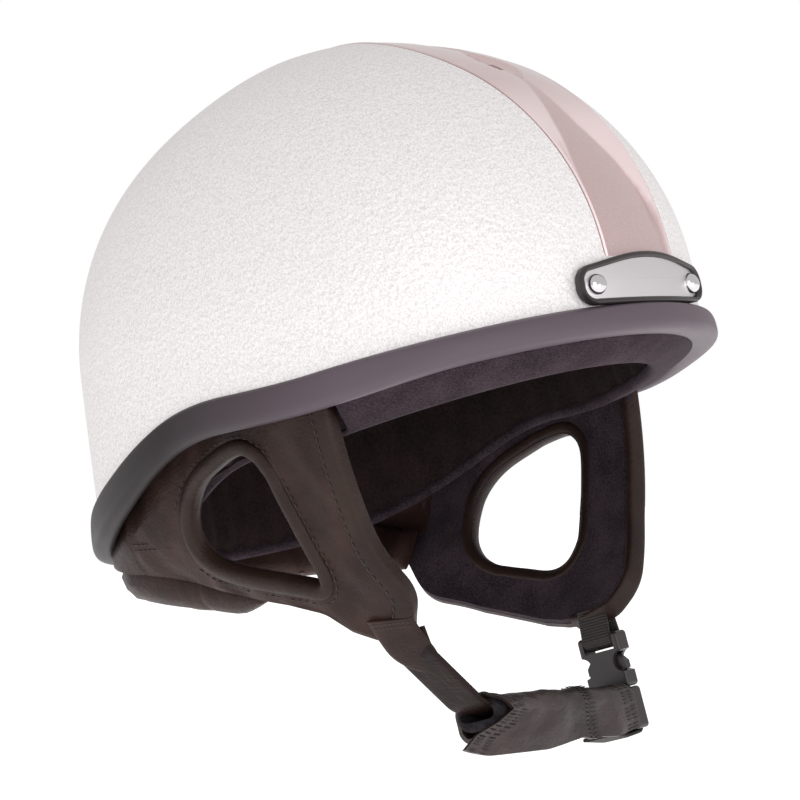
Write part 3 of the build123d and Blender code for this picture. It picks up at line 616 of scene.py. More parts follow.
plate_rings = [plate_ring(share, plate_proud if share else 0.0002, plate_loop)
               for share in (0.0, 0.03, 0.2, 0.4, 0.6, 0.8, 0.95, 0.999)]
plate_rings += [plate_ring(share, 0.0001, badge_loop) for share in (0.999, 0.5, 0.03)]
plate = lattice("badge_plate_bare", np.array(plate_rings), True, True, 60)
dress(plate, brushed_plate(), "cap", "plate_metal", "badge_plate")

rivets = []
around = np.linspace(0, 2 * np.pi, 40, endpoint=False)
for side in (-1, 1):
    rings = []
    for share in (1.0, 1.0, 0.92, 0.75, 0.5, 0.25, 0.02):
        flat = np.stack((side * badge_rivet_x + np.cos(around) * badge_rivet_radius * share,
                         badge_rivet_z + np.sin(around) * badge_rivet_radius * share), -1)
        rise = plate_proud + badge_rivet_rise * np.sqrt(1 - share**2) + 0.0002
        rings.append(on_brow(flat, rise if rings else 0.0004))
    rivets.append(lattice(f"badge_rivet_{len(rivets)}", np.array(rings), False, True, 60))
dress(join("badge_rivet_heads", rivets), plated_steel, "cap", "rivet_steel", "badge_rivets")

# Rim trim: an extruded black rubber profile pushed over the shell's edge and glued, with a rounded
# lip. It is fuller at the brow and at the nape than along the sides.
trim_section = (
    (-0.0002, 0.0000), (0.0001, 0.0012), (0.0009, 0.0021), (0.0028, 0.0026), (0.0060, 0.0029), (0.0092, 0.0029),
    (0.0110, 0.0022), (0.0120, 0.0006), (0.0122, -0.0014), (0.0116, -0.0030), (0.0100, -0.0038),
    (0.0070, -0.0038), (0.0060, -0.0030), (0.0060, 0.0), (0.0030, 0.0),
)
trim_columns = 420
trim_rear_growth = 0.40
trim_brow_growth = 1.1
trim_brow_slim = 0.14
trim_brow_y = (-0.060, -0.100)
trim_rear_y = 0.12


def moulded_rubber():
    """Extruded black rubber: dull, with random blotches of bloom, painted light that makes it paler towards the brow
    where it faces the lamps, and fine drag lines.
    """
    material, add, shader = new_material("extruded black rubber")
    place = add("TexCoord").outputs["Object"]
    bloom = add("TexNoise", {"Scale": 90, "Detail": 4}, {"Vector": place})
    fine = add("TexNoise", {"Scale": 1400, "Detail": 2}, {"Vector": place})
    black = add("ValToRGB", {"color_ramp": ((0.3, "#130D0F"), (0.7, "#1D1619"))}, {"Fac": bloom})
    axes = add("SeparateXYZ", None, {"Vector": place})
    # Painted light: the rubber is mixed towards a pale grey towards the brow, where its front faces the lamps.
    painted_brow_light_mask = add("MapRange", {"From Min": 0.015, "From Max": -0.065}, {"Value": axes.outputs["Y"]})
    painted_brow_light = add("MixRGB", {"Color2": linear("#594E56")}, {"Fac": painted_brow_light_mask, "Color1": black})
    rough = add("MapRange", {"To Min": 0.4, "To Max": 0.52}, {"Value": bloom})
    bump = add("Bump", {"Strength": 0.18, "Distance": 0.0002}, {"Height": fine})
    fill_node(shader, {"Specular IOR Level": 0.34},
              {"Base Color": painted_brow_light, "Roughness": rough, "Normal": bump})
    return material


def sweep(name, line, out, section, closed=True, sharp=50, scale=None):
    """A profile of (sideways, outwards) points swept along a line that has outward directions."""
    sideways = unit(np.cross(out, directions(line, closed)))
    section = np.asarray(section, float)
    tall, deep = (1, 1) if scale is None else (size[:, None] for size in scale)
    grid = (line[:, None] + sideways[:, None] * (section[None, :, 0] * tall)[..., None]
            + out[:, None] * (section[None, :, 1] * deep)[..., None])
    return lattice(name, grid, closed, True, sharp)


def refine(section, count=3):
    """A smoother closed section: new points on a curve through the given ones."""
    section = np.asarray(section, float)
    line = []
    for i in range(len(section)):
        p0, p1, p2, p3 = (section[(i + k) % len(section)] for k in (-1, 0, 1, 2))
        for share in np.arange(count) / count:
            a = 2 * p1 + (p2 - p0) * share
            b = (2 * p0 - 5 * p1 + 4 * p2 - p3) * share**2
            c = (3 * p1 - p0 - 3 * p2 + p3) * share**3
            line.append((a + b + c) / 2)
    return np.array(line)


around = np.linspace(0, 2 * np.pi, trim_columns, endpoint=False)
trim_line = on_rim(around, 0.0)
trim_out = unit(on_rim(around, 0.0, 0.01) - trim_line)
down_first = np.cross(trim_out, directions(trim_line))[0, 2] < 0
section = refine([(d if down_first else -d, o) for d, o in trim_section])
at_brow = smooth_step((trim_brow_y[0] - trim_line[:, 1]) / (trim_brow_y[0] - trim_brow_y[1]))
growth = 1 + trim_rear_growth * smooth_step(trim_line[:, 1] / trim_rear_y) - trim_brow_slim * at_brow
trim = sweep("rim_trim_rubber", trim_line, trim_out, section, True, 60, (growth, growth + trim_brow_growth * at_brow))
dress(trim, moulded_rubber(), "cap", "trim_rubber", "rim_trim")

# Liner, crown lining and crown pad: moulded bead foam inside the shell, a brushed knit lining with
# soft pleats over it, and a foam cross where the top of the head rests.
head_form = (0.078, 0.106, 0.002, 0.092, 0.200)
fold_spread = 0.0050
fold_drop = 0.0188
fold_lean = 0.0022
pleat_count = 44
pleat_depth = 0.0008
pad_half_long = 0.06
pad_half_wide = 0.0165
lining_columns = 352


def bead_foam():
    """Expanded bead foam: dark, matt, with the outlines of 3 mm beads."""
    material, add, shader = new_material("black bead foam")
    place = add("TexCoord").outputs["Object"]
    beads = add("TexVoronoi", {"Scale": 330}, {"Vector": place})
    bump = add("Bump", {"Strength": 0.5, "Distance": 0.0006}, {"Height": beads})
    fill_node(shader, {"Base Color": linear("#2A2727"), "Roughness": 0.8}, {"Normal": bump})
    return material


def brushed_knit(name, dark, light, thread, sheen):
    """Brushed knit, velour or fleece: short dense pile, 0.8 to 1.6 mm across, which is coarser than the real pile
    so that it shows. Its light specks are partly the cloth's own mottle and partly painted glints of the pile's tips."""
    material, add, shader = new_material(name)
    place = add("TexCoord").outputs["Object"]
    pile = add("TexNoise", {"Scale": thread, "Detail": 3, "Roughness": 0.7}, {"Vector": place})
    nap = add("TexNoise", {"Scale": 70, "Detail": 3}, {"Vector": place})
    share = add("Math", {"operation": "MULTIPLY", 1: 0.35}, {0: nap})
    both = add("Math", {"operation": "MULTIPLY_ADD", 1: 0.65}, {0: pile, 2: share})
    # Partly painted light: the light specks are the cloth's own mottle together with painted glints of the pile's
    # tips.
    tone_ramp = add("ValToRGB", {"color_ramp": ((0.4, dark), (0.62, light))}, {"Fac": both})
    bump = add("Bump", {"Strength": 0.6, "Distance": 0.0005}, {"Height": pile})
    fill_node(shader, {"Roughness": 0.95, "Specular IOR Level": 0.2, "Sheen Weight": sheen, "Sheen Roughness": 0.45,
                       "Sheen Tint": linear("#756872")},
              {"Base Color": tone_ramp, "Normal": bump})
    return material


paint(nodes["foam_liner"], bead_foam())

around = np.linspace(0, 2 * np.pi, lining_columns, endpoint=False)
knit = brushed_knit("brown brushed knit", "#150D0D", "#2A1D1C", 900, 0.1)
lining_low = rim_height(on_rim(around, 0.0)[:, 1]) - fold_drop + fold_lean * np.sin(around) + 0.0016


def lining_rows(lift):
    """Rows of the crown lining from the fold of the brow band up to the crown."""
    rows = []
    for share in np.r_[0.0, 0.02, 0.05, 0.09, 0.14, np.linspace(0.2, 0.97, 18)]:
        angle = np.arctan2(lining_low, head_form[3]) * (1 - share) + np.pi / 2 * share
        height = np.where(angle > 0, head_form[3] * np.sin(angle), lining_low * np.clip(
            np.tan(angle) / np.minimum(lining_low / head_form[3], -0.01), 0, 1))
        pleats = pleat_depth * np.sin(around * pleat_count) * (1 - share) ** 0.6
        spread = fold_spread * np.exp(-(height - lining_low) / 0.007)
        rows.append(on_round(head_form, around, height, lift + pleats + spread))
    return rows


lining = lattice("crown_lining_knit", np.array(lining_rows(0.0022) + lining_rows(0.0046)[::-1]), True, True, 60)
dress(lining, knit, "cap", "lining_fabric", "crown_lining")

along = np.linspace(-1, 1, 49)
wide = np.linspace(-1, 1, 17)
pad_strips = []
for turned in (False, True):
    strip = []
    for sign in (1, -1):
        a, w = np.meshgrid(along, wide * sign, indexing="ij")
        taper = np.sqrt(np.clip(1 - np.clip((np.abs(a) - 0.72) / 0.28, 0, 1) ** 2, 0, 1))
        x, y = a * pad_half_long, w * pad_half_wide * taper
        if turned:
            x, y = y, x
        waist = np.hypot(x / head_form[0], y / head_form[1])
        height = head_form[3] * np.sqrt(np.clip(1 - waist**2, 0, 1))
        crown = np.sqrt(np.clip(1 - w**2, 0, 1)) * taper
        lift = 0.0012 if sign == 1 else 0.0008 - 0.0052 * crown
        strip.append(np.stack((x, y + head_form[2], height + lift), -1))
    pad_strips.append(lattice(f"pad_strip_{int(turned)}", np.concatenate(strip, axis=1), False, True, 60))
crown_pad = dress(join("crown_pad_cross", pad_strips), knit, "cap", "lining_fabric", "crown_pad")

# Brow band: velour sewn over soft foam, folded under the liner's edge and up inside it. It shows as
# the dark speckled underside between the trim and the head.
band_outer_drop = 0.0100
band_outer_sink = -0.0036
band_harness_sink = -0.0068
band_bulge = 0.0010
jaw_form = (0.097, 0.1385, -0.0065, 0.152, 0.152)
harness_front = -0.057

velour = brushed_knit("navy velour", "#1C151A", "#40343B", 1250, 0.28)
around = np.linspace(0, 2 * np.pi, 480, endpoint=False)
edge_front = on_rim(around, band_outer_drop, band_outer_sink)
edge_back = on_round(jaw_form, around, edge_front[:, 2], band_harness_sink)
behind = smooth_step((edge_front[:, 1] - harness_front) / 0.008)[:, None]
edge_out = edge_front * (1 - behind) + edge_back * behind
fold_height = edge_front[:, 2] + band_outer_drop - fold_drop + fold_lean * np.sin(around)
fold = on_round(head_form, around, fold_height, fold_spread + 0.0024)
rows = [edge_out + (0, 0, 0.006), edge_out + (0, 0, 0.002)]
for share in (0.0, 0.08, 0.2, 0.35, 0.5, 0.65, 0.8, 0.9, 0.97):
    row = edge_out * (1 - share) + fold * share
    row[:, 2] -= band_bulge * np.sin(np.pi * min(share * 1.05, 1)) ** 0.7
    rows.append(row)
for rise, lift in ((0.0002, 0.0012), (0.0012, 0.0002), (0.0030, -0.0002), (0.0045, 0.0012)):
    rows.append(on_round(head_form, around, fold_height + rise, fold_spread + lift))
rows.append(on_round(head_form, around, fold_height + 0.020, 0.0055))
rows.append(on_round(head_form, around, fold_height + 0.022, 0.0085))
rows.append(edge_out * 0.6 + fold * 0.4 + (0, 0, 0.010))
band = lattice("brow_band_velour", np.array(rows), True, True, 60)
dress(band, velour, "cap", "velour", "brow_band")

# Side pieces: soft creased leather outside and brushed navy cloth inside, cut round the ear and
# narrowed to the chin strap's seat. They hang from rivets and webbing hidden under the trim, and are
# worn to a slightly different outline on each side.
near_ear = ((-0.0147, -0.0437), (-0.0172, -0.0472), (-0.0192, -0.0510), (-0.0208, -0.0583), (-0.0226, -0.0658),
            (-0.0240, -0.0733), (-0.0252, -0.0807), (-0.0258, -0.0875), (-0.0238, -0.0906), (-0.0163, -0.0890),
            (-0.0040, -0.0862), (0.0120, -0.0827), (0.0240, -0.0790), (0.0293, -0.0755), (0.0315, -0.0722),
            (0.0321, -0.0687), (0.0314, -0.0645), (0.0297, -0.0608), (0.0273, -0.0573), (0.0243, -0.0540),
            (0.0200, -0.0507), (0.0140, -0.0475), (0.0053, -0.0443), (-0.0023, -0.0418), (-0.0095, -0.0410))
far_ear = ((-0.0125, -0.0450), (-0.0008, -0.0468), (0.0073, -0.0496), (0.0186, -0.0546), (0.0260, -0.0601),
           (0.0306, -0.0661), (0.0324, -0.0723), (0.0327, -0.0788), (0.0311, -0.0854), (0.0261, -0.0918),
           (0.0182, -0.0964), (0.0090, -0.0985), (-0.0003, -0.1000), (-0.0095, -0.1014), (-0.0150, -0.1013),
           (-0.0190, -0.1000), (-0.0225, -0.0970), (-0.0252, -0.0905), (-0.0250, -0.0843), (-0.0245, -0.0782),
           (-0.0242, -0.0720), (-0.0237, -0.0658), (-0.0232, -0.0595), (-0.0222, -0.0532), (-0.0192, -0.0482))
near_side = ((-0.0490, 0.012), (-0.0500, -0.082), (-0.0555, -0.0985), (-0.0450, -0.1142), (-0.0360, -0.1125),
             (-0.0272, -0.1080), (-0.0212, -0.1010), (-0.0060, -0.0963), (0.0060, -0.0938), (0.0300, -0.0882),
             (0.0620, -0.0755), (0.0620, 0.012))
far_side = ((-0.0465, 0.012), (-0.0565, -0.082), (-0.0640, -0.1075), (-0.0560, -0.1168), (-0.0420, -0.1212),
            (-0.0275, -0.1218), (-0.0150, -0.1208), (0.0030, -0.1173), (0.0200, -0.1136), (0.0500, -0.1044),
            (0.0620, -0.0880), (0.0620, 0.012))
side_bends = (0.002, 0.060, 0.011, 0.009, 0.006, 0.006, 0.012, 0.030, 0.030, 0.050, 0.001, 0.002)
side_centre = (0.003, -0.068)
side_rays = 520
leather_wall = 0.0026
cloth_wall = 0.0030
harness_rise = 0.002
crease_depth = 0.0010
flare_drops = (-0.010, 0.002, 0.010, 0.018, 0.028, 0.038, 0.050)
flare_lifts = (0.004, 0.0080, 0.0135, 0.0175, 0.0165, 0.0120, 0.0080)


def on_side(y, z, side, lift=0.0):
    """Points of the harness's form, its flank, at places seen from the side, lifted off it."""
    half, reach, middle, _, fall = jaw_form
    y, z = np.broadcast_arrays(np.asarray(y, float), np.asarray(z, float))
    room = 1 - ((y - middle) / reach) ** 2 - (z / fall) ** 2
    return lift_off(jaw_form, np.stack((side * half * np.sqrt(np.clip(room, 0, 1)), y, z), -1), lift)


def side_out(y, z, side):
    """Outward directions of the harness's form."""
    return (on_side(y, z, side, 0.01) - on_side(y, z, side)) / 0.01


def waves(points, size, seed, count=14):
    """Smooth random relief from -1 to 1 with swells of about one size."""
    chance = np.random.default_rng(seed)
    steps = unit(chance.normal(size=(count, 3)))
    steps *= (2 * np.pi / size) * chance.uniform(0.6, 1.4, (count, 1))
    phases = chance.uniform(0, 2 * np.pi, count)
    return np.sin(points @ steps.T + phases).sum(-1) / np.sqrt(count)


def flare(y, z):
    """How far the harness stands off its form towards the nape, where the pad fills it out below the rim."""
    return np.interp(rim_height(y) - z, flare_drops, flare_lifts) * smooth_step((y - 0.022) / 0.060)


def ray_reach(loop, centre, angles):
    """Reach of a closed outline from a centre along each ray."""
    offset = loop - centre
    at = np.arctan2(offset[:, 1], offset[:, 0])
    order = np.argsort(at)
    return np.interp(angles, at[order], np.hypot(*offset[order].T), period=2 * np.pi)


def creased_leather(name, dark, light, grain_size, shine=0.2):
    """Dyed cowhide with a waxed semi-gloss face: pebbles of about 1 mm and 7 mm wrinkles."""
    material, add, shader = new_material(name)
    place = add("TexCoord").outputs["Object"]
    pebbles = add("TexVoronoi", {"Scale": grain_size}, {"Vector": place})
    wrinkle = add("TexNoise", {"Scale": 150, "Detail": 5, "Roughness": 0.62, "Distortion": 0.9}, {"Vector": place})
    stain = add("TexNoise", {"Scale": 45, "Detail": 4}, {"Vector": place})
    relief = add("Math", {"operation": "MULTIPLY_ADD", 1: 0.28}, {0: pebbles, 2: wrinkle})
    bump = add("Bump", {"Strength": 0.5, "Distance": 0.0008}, {"Height": relief})
    tone_ramp = add("ValToRGB", {"color_ramp": ((0.3, dark), (0.72, light))}, {"Fac": stain})
    rough = add("MapRange", {"To Min": 0.34, "To Max": 0.56}, {"Value": wrinkle})
    fill_node(shader, {"Specular IOR Level": shine},
              {"Base Color": tone_ramp, "Roughness": rough, "Normal": bump})
    return material


hide = creased_leather("waxed black-brown cowhide", "#221714", "#3E2D29", 950, 0.17)
side_loops = {}
for side, word, ear, outline in ((-1, "right", near_ear, near_side), (1, "left", far_ear, far_side)):
    ear_loop = even_points(refine(ear, 8), 0.0008, True)
    rim_loop = fillet_path(outline, side_bends, 0.0008, True)
    rim_loop[:, 1] = np.minimum(rim_loop[:, 1], rim_height(rim_loop[:, 0]) + harness_rise)
    side_loops[word] = ear_loop
    angles = np.linspace(-np.pi, np.pi, side_rays, endpoint=False)
    inner_reach = ray_reach(ear_loop, side_centre, angles)
    outer_reach = ray_reach(rim_loop, side_centre, angles)
    shares_out = np.r_[0, np.linspace(0.02, 0.98, 34), 1][:, None]
    reach = inner_reach + (outer_reach - inner_reach) * shares_out
    y, z = side_centre[0] + reach * np.cos(angles), side_centre[1] + reach * np.sin(angles)
    skin = on_side(y, z, side)
    calm = np.clip(np.minimum(shares_out, 1 - shares_out) * 7, 0, 1)
    folds = (waves(skin * (1, 1, 0.8), 0.024, 7) * 0.6 + waves(skin, 0.011, 8) * 0.3) * crease_depth * calm
    off = flare(y, z)
    leather = slab(f"side_leather_{word}", on_side(y, z, side, off + folds),
                   on_side(y, z, side, off + folds - leather_wall), True)
    dress(leather, hide, "cap", "leather", f"side_piece_{word}")
    cloth = slab(f"side_cloth_{word}", on_side(y, z, side, off + folds * 0.5 - leather_wall - 0.0004),
                 on_side(y, z, side, off + folds * 0.3 - leather_wall - cloth_wall), True)
    dress(cloth, velour, "cap", "velour")

# Bindings: strips of thinner leather folded over the cut edges of the side pieces, fat and rounded
# at the ear holes, and sewn down with a run of thread near their inner edge.
ear_pipe = ((0.0058, -0.0008), (0.0054, 0.0006), (0.0040, 0.0014), (0.0022, 0.0016), (0.0006, 0.0010),
            (-0.0004, -0.0008), (-0.0004, -0.0042), (0.0008, -0.0058), (0.0026, -0.0064), (0.0046, -0.0060),
            (0.0056, -0.0034))
edge_pipe = ((0.0052, -0.0004), (0.0046, 0.0008), (0.0024, 0.0012), (0.0, 0.0013), (-0.0018, 0.0008),
             (-0.0027, -0.0010), (-0.0027, -0.0048), (-0.0018, -0.0062), (0.0, -0.0066), (0.0030, -0.0062),
             (0.0050, -0.0040))
far_pipe_share = 0.6
stitch_pitch = 0.0031
stitch_length = 0.0021
stitch_width = 0.00055
row_offset = 0.0066
edge_row_offset = 0.0040
bar_tack_levels = (-0.0640, -0.0662)
bar_tack_y = (0.0445, 0.0590)
bar_tack_slope = 0.0027
bar_tack_pitch = 0.0022
edge_end_y = {"right": -0.037, "left": -0.034}


def stitch_mesh(length, width):
    """One stitch: a low rounded thread bar of a few dozen faces."""
    work = bmesh.new()
    bmesh.ops.create_uvsphere(work, u_segments=8, v_segments=6, radius=0.5)
    bmesh.ops.scale(work, verts=work.verts, vec=(width, width * 0.8, length))
    mesh = bpy.data.meshes.new("stitch")
    work.to_mesh(mesh)
    work.free()
    mesh.polygons.foreach_set("use_smooth", [True] * len(mesh.polygons))
    return mesh


def stitch_rows(name, rows, length, width, material, body, slot):
    """Sews rows of stitches: each row is points, directions and outward directions."""
    places = np.concatenate([row[0] for row in rows])
    ahead = np.concatenate([row[1] for row in rows])
    outs = np.concatenate([row[2] for row in rows])
    mesh = bpy.data.meshes.new(name)
    mesh.from_pydata(places.tolist(), [], [])
    for word, values in (("ahead", ahead), ("out", outs)):
        mesh.attributes.new(word, "FLOAT_VECTOR", "POINT").data.foreach_set("vector", values.ravel())
    obj = add_object(name, mesh)
    thread = bpy.data.objects.new(name + "_thread", stitch_mesh(length, width))
    group = bpy.data.node_groups.new("sewn rows", "GeometryNodeTree")
    group.interface.new_socket("Geometry", in_out="INPUT", socket_type="NodeSocketGeometry")
    stitch_in = group.interface.new_socket("Stitch", in_out="INPUT", socket_type="NodeSocketObject")
    finish_in = group.interface.new_socket("Thread finish", in_out="INPUT", socket_type="NodeSocketMaterial")
    group.interface.new_socket("Geometry", in_out="OUTPUT", socket_type="NodeSocketGeometry")
    start = add_node(group, "NodeGroupInput")
    info = add_node(group, "GeometryNodeObjectInfo", None, {"Object": start.outputs["Stitch"]})
    way = add_node(group, "GeometryNodeInputNamedAttribute", {"data_type": "FLOAT_VECTOR", "Name": "ahead"})
    face = add_node(group, "GeometryNodeInputNamedAttribute", {"data_type": "FLOAT_VECTOR", "Name": "out"})
    turn = add_node(group, "FunctionNodeAxesToRotation", {"primary_axis": "Z", "secondary_axis": "Y"},
                    {"Primary Axis": way.outputs["Attribute"], "Secondary Axis": face.outputs["Attribute"]})
    copies = add_node(group, "GeometryNodeInstanceOnPoints", None, {
        "Points": start.outputs["Geometry"], "Instance": info.outputs["Geometry"], "Rotation": turn.outputs[0]})
    solid = add_node(group, "GeometryNodeRealizeInstances", None, {"Geometry": copies.outputs["Instances"]})
    paint = add_node(group, "GeometryNodeSetMaterial", None, {
        "Geometry": solid.outputs["Geometry"], "Material": start.outputs["Thread finish"]})
    add_node(group, "NodeGroupOutput", None, {0: paint.outputs["Geometry"]})
    modifier = obj.modifiers.new("sewn rows", "NODES")
    modifier.node_group = group
    modifier[stitch_in.identifier] = thread
    modifier[finish_in.identifier] = material
    bpy.context.view_layer.update()
    sewn = bpy.data.meshes.new_from_object(obj.evaluated_get(bpy.context.evaluated_depsgraph_get()))
    obj.modifiers.clear()
    obj.data = sewn
    bpy.data.objects.remove(thread)
    return dress(obj, material, body, slot)


def dull_thread(name, colour):
    """Bonded polyester thread: satin, with its twist as a fine bump."""
    material, add, shader = new_material(name)
    place = add("TexCoord").outputs["Object"]
    twist = add("TexNoise", {"Scale": 2600, "Detail": 1}, {"Vector": place})
    bump = add("Bump", {"Strength": 0.3, "Distance": 0.0001}, {"Height": twist})
    fill_node(shader, {"Base Color": linear(colour), "Roughness": 0.55}, {"Normal": bump})
    return material


def off_centre(section, line, out, closed, centre):
    """A section turned so that its first side lies away from a centre."""
    sideways = np.cross(out, directions(line, closed))
    lean = np.sum(sideways * (line - centre)) < 0
    return [(-a if lean else a, b) for a, b in section]


def side_row(side, loop, closed, shift, lift, pitch=stitch_pitch):
    """A run of stitches beside a flat outline on a side piece."""
    moved = even_points(loop + beside(loop, closed) * shift, pitch, closed)
    place = on_side(*moved.T, side, lift + flare(*moved.T))
    return place, directions(place, closed), side_out(*moved.T, side)


binding_hide = creased_leather("thin black binding hide", "#211714", "#33251F", 1200)
brown_thread = dull_thread("worn brown-black thread", "#2A2321")
runs = []
for side, word, front in ((-1, "right", near_side), (1, "left", far_side)):
    ear_loop = side_loops[word]
    place = on_side(*ear_loop.T, side, flare(*ear_loop.T))
    out = side_out(*ear_loop.T, side)
    section = refine(off_centre(ear_pipe, place, out, True, place.mean(0)))
    pipe = sweep(f"ear_piping_{word}", place, out, section, True, 60)
    dress(pipe, binding_hide, "cap", "binding_leather", f"ear_binding_{word}")
    front_path = fillet_path(((front[0][0], -0.012), *front[1:6]), side_bends[1:5], 0.0008)
    front_path = front_path[:np.argmax(front_path[:, 0] > edge_end_y[word])]
    place = on_side(*front_path.T, side)
    out = side_out(*front_path.T, side)
    slim = 1.0 if side < 0 else far_pipe_share
    section = off_centre([(a * slim, b) for a, b in edge_pipe], place, out, False, place + (0, -0.02, -0.004))
    edge = sweep(f"edge_piping_{word}", place, out, refine(section), False, 60)
    dress(edge, binding_hide, "cap", "binding_leather", f"edge_binding_{word}")
    next_y, next_z = np.roll(ear_loop, -1, 0).T
    clockwise = np.sign(np.sum(ear_loop[:, 0] * next_z - next_y * ear_loop[:, 1]))
    runs.append(side_row(side, ear_loop, True, -clockwise * row_offset, 0.0003))
    runs.append(side_row(side, front_path, False, edge_row_offset, 0.0012))
    runs.append(side_row(side, front_path, False, edge_row_offset, -leather_wall - cloth_wall))
    for level in bar_tack_levels:
        bar = np.stack((np.linspace(*bar_tack_y, 40), np.linspace(level - bar_tack_slope, level, 40)), -1)
        runs.append(side_row(side, bar, False, 0.0, 0.0006, bar_tack_pitch))
stitch_rows("harness_stitches", runs, stitch_length, stitch_width, brown_thread, "cap", "binding_leather")

# Neck band and nape pad: the same leather carries on round the nape, over a quilted cushion that
# bulges below its lower edge.
neck_front = 0.0575
neck_low_y = (0.0600, 0.0920, 0.1720)
neck_low_z = (-0.0762, -0.0672, -0.0650)
pad_front = 0.0040
pad_far_front = 0.0600
pad_top_y = (0.004, 0.040, 0.062, 0.085)
pad_top_z = (-0.0915, -0.0850, -0.0750, -0.0650)
pad_low_y = (0.004, 0.010, 0.017, 0.024, 0.030, 0.042, 0.054, 0.070, 0.092, 0.172)
pad_low_z = (-0.0950, -0.0966, -0.0985, -0.1000, -0.1000, -0.0982, -0.0955, -0.0905, -0.0855, -0.0800)
quilt_step = radians(11)
neck_columns = 240


def nape_grid(near_front, far_front, top, low, shares_down):
    """Turns, heights and points round the nape from side to side, between two heights that vary along it."""
    _, reach, middle, _, fall = jaw_form
    shares_down = np.asarray(shares_down, float)[:, None]
    shares_round = np.linspace(0, 1, neck_columns)[None, :]
    z = np.full((len(shares_down), neck_columns), -0.06)
    for _ in range(12):
        waist = np.sqrt(1 - (z / fall) ** 2)
        start, end = (np.arccos(np.clip((middle - front) / (reach * waist), -1, 1))
                      for front in (far_front, near_front))
        turn = start + (2 * np.pi - end - start) * shares_round
        y = middle - reach * waist * np.cos(turn)
        z = top(y) + (low(y) - top(y)) * shares_down
    return turn, z, on_round(jaw_form, turn, z)


def between(y_places, z_places):
    """A function that gives the height at a place along the cap."""
    return lambda y: np.interp(y, y_places, z_places)


down = np.linspace(0, 1, 26)
turn, z, skin = nape_grid(neck_front, neck_front, lambda y: rim_height(y) + harness_rise,
                          between(neck_low_y, neck_low_z), down)
folds = waves(skin, 0.022, 5) * crease_depth * 0.7 * np.sin(np.pi * down)[:, None]
off = flare(skin[..., 1], z) + folds
neck = slab("neck_band_leather", on_round(jaw_form, turn, z, off - 0.0007), on_round(jaw_form, turn, z, off - 0.0060))
dress(neck, hide, "cap", "leather", "neck_band")

section_down = np.array((0.0, 0.06, 0.2, 0.4, 0.6, 0.8, 0.92, 0.985, 1.0, 0.985, 0.92, 0.8, 0.6, 0.4, 0.2, 0.06))
section_lift = np.array((-0.0095, -0.0074, -0.0040, -0.0006, 0.0004, -0.0004, -0.0022, -0.0048, -0.0080, -0.0118,
                         -0.0140, -0.0150, -0.0152, -0.0150, -0.0145, -0.0125))[:, None]
turn, z, skin = nape_grid(pad_front, pad_far_front, between(pad_top_y, pad_top_z), between(pad_low_y, pad_low_z),
                          section_down)
quilting = np.abs(np.sin(turn / quilt_step * np.pi / 2)) ** 0.5
puff = section_lift + (1 - quilting) * np.where(section_lift < -0.009, 0.0032, -0.0016)
share_round = np.linspace(0, 1, neck_columns)
end_close = np.clip(np.minimum(share_round, share_round[::-1]) * 40, 0.25, 1)
puff = -0.0090 + (puff + 0.0090) * end_close[None, :]
pad = lattice("nape_pad_quilted", on_round(jaw_form, turn, z, puff + flare(skin[..., 1], z)), True, False, 60)
dress(pad, hide, "cap", "leather", "nape_pad")

# Anchors: folded webbing ears that carry the harness on its rivets, hidden behind the trim, with
# the polished rivets and washers through them.
anchor_places = (-0.040, 0.044)
anchor_half = 0.009
anchor_low = -0.0070


def woven_web(name, dark, light):
    """Woven nylon webbing: 1.1 mm ribs across the strap in a satin yarn."""
    material, add, shader = new_material(name)
    run_uv = add("UVMap", {"uv_map": "run"})
    ribs = add("TexWave", {"Scale": 290, "Distortion": 0.4, "bands_direction": "Y"}, {"Vector": run_uv})
    yarn = add("TexWave", {"Scale": 520, "Distortion": 0.6, "bands_direction": "X"}, {"Vector": run_uv})
    both = add("Math", {"operation": "ADD"}, {0: ribs.outputs["Fac"], 1: yarn.outputs["Fac"]})
    bump = add("Bump", {"Strength": 0.6, "Distance": 0.0005}, {"Height": both})
    tone_ramp = add("ValToRGB", {"color_ramp": ((0.0, dark), (1.0, light))}, {"Fac": ribs.outputs["Fac"]})
    fill_node(shader, {"Roughness": 0.62}, {"Base Color": tone_ramp, "Normal": bump})
    return material


black_web = woven_web("black-brown woven webbing", "#15100F", "#2D2422")
for side, word in ((-1, "right"), (1, "left")):
    ears = []
    for place_y in anchor_places:
        y = np.linspace(place_y - anchor_half, place_y + anchor_half, 12)[None, :]
        drop = np.linspace(harness_rise, anchor_low, 12)[:, None]
        z = rim_height(np.broadcast_to(y, (12, 12))) + drop
        ears.append(slab(f"anchor_{word}_{len(ears)}", on_side(y, z, side, 0.0045),
                         on_side(y, z, side, 0.0004)))
    dress(join(f"anchor_webbing_{word}", ears), black_web, "cap", "web_fabric", f"anchors_{word}")
for node in ("harness_rivets", "rivet_washers"):
    paint(nodes[node], plated_steel)

# Strap tabs: the leather tab of the chin strap and the webbing tab of the buckle, sewn on the tips
# of the side pieces. Their round ends are centred on the line that the chin strap swings about.
swing_place = np.array((0.0, -0.045, -0.116))
tab_top = -0.1045
tab_lift = 0.0002
tab_wall = 0.0014
strap_width = 0.017
webbing_width = 0.014

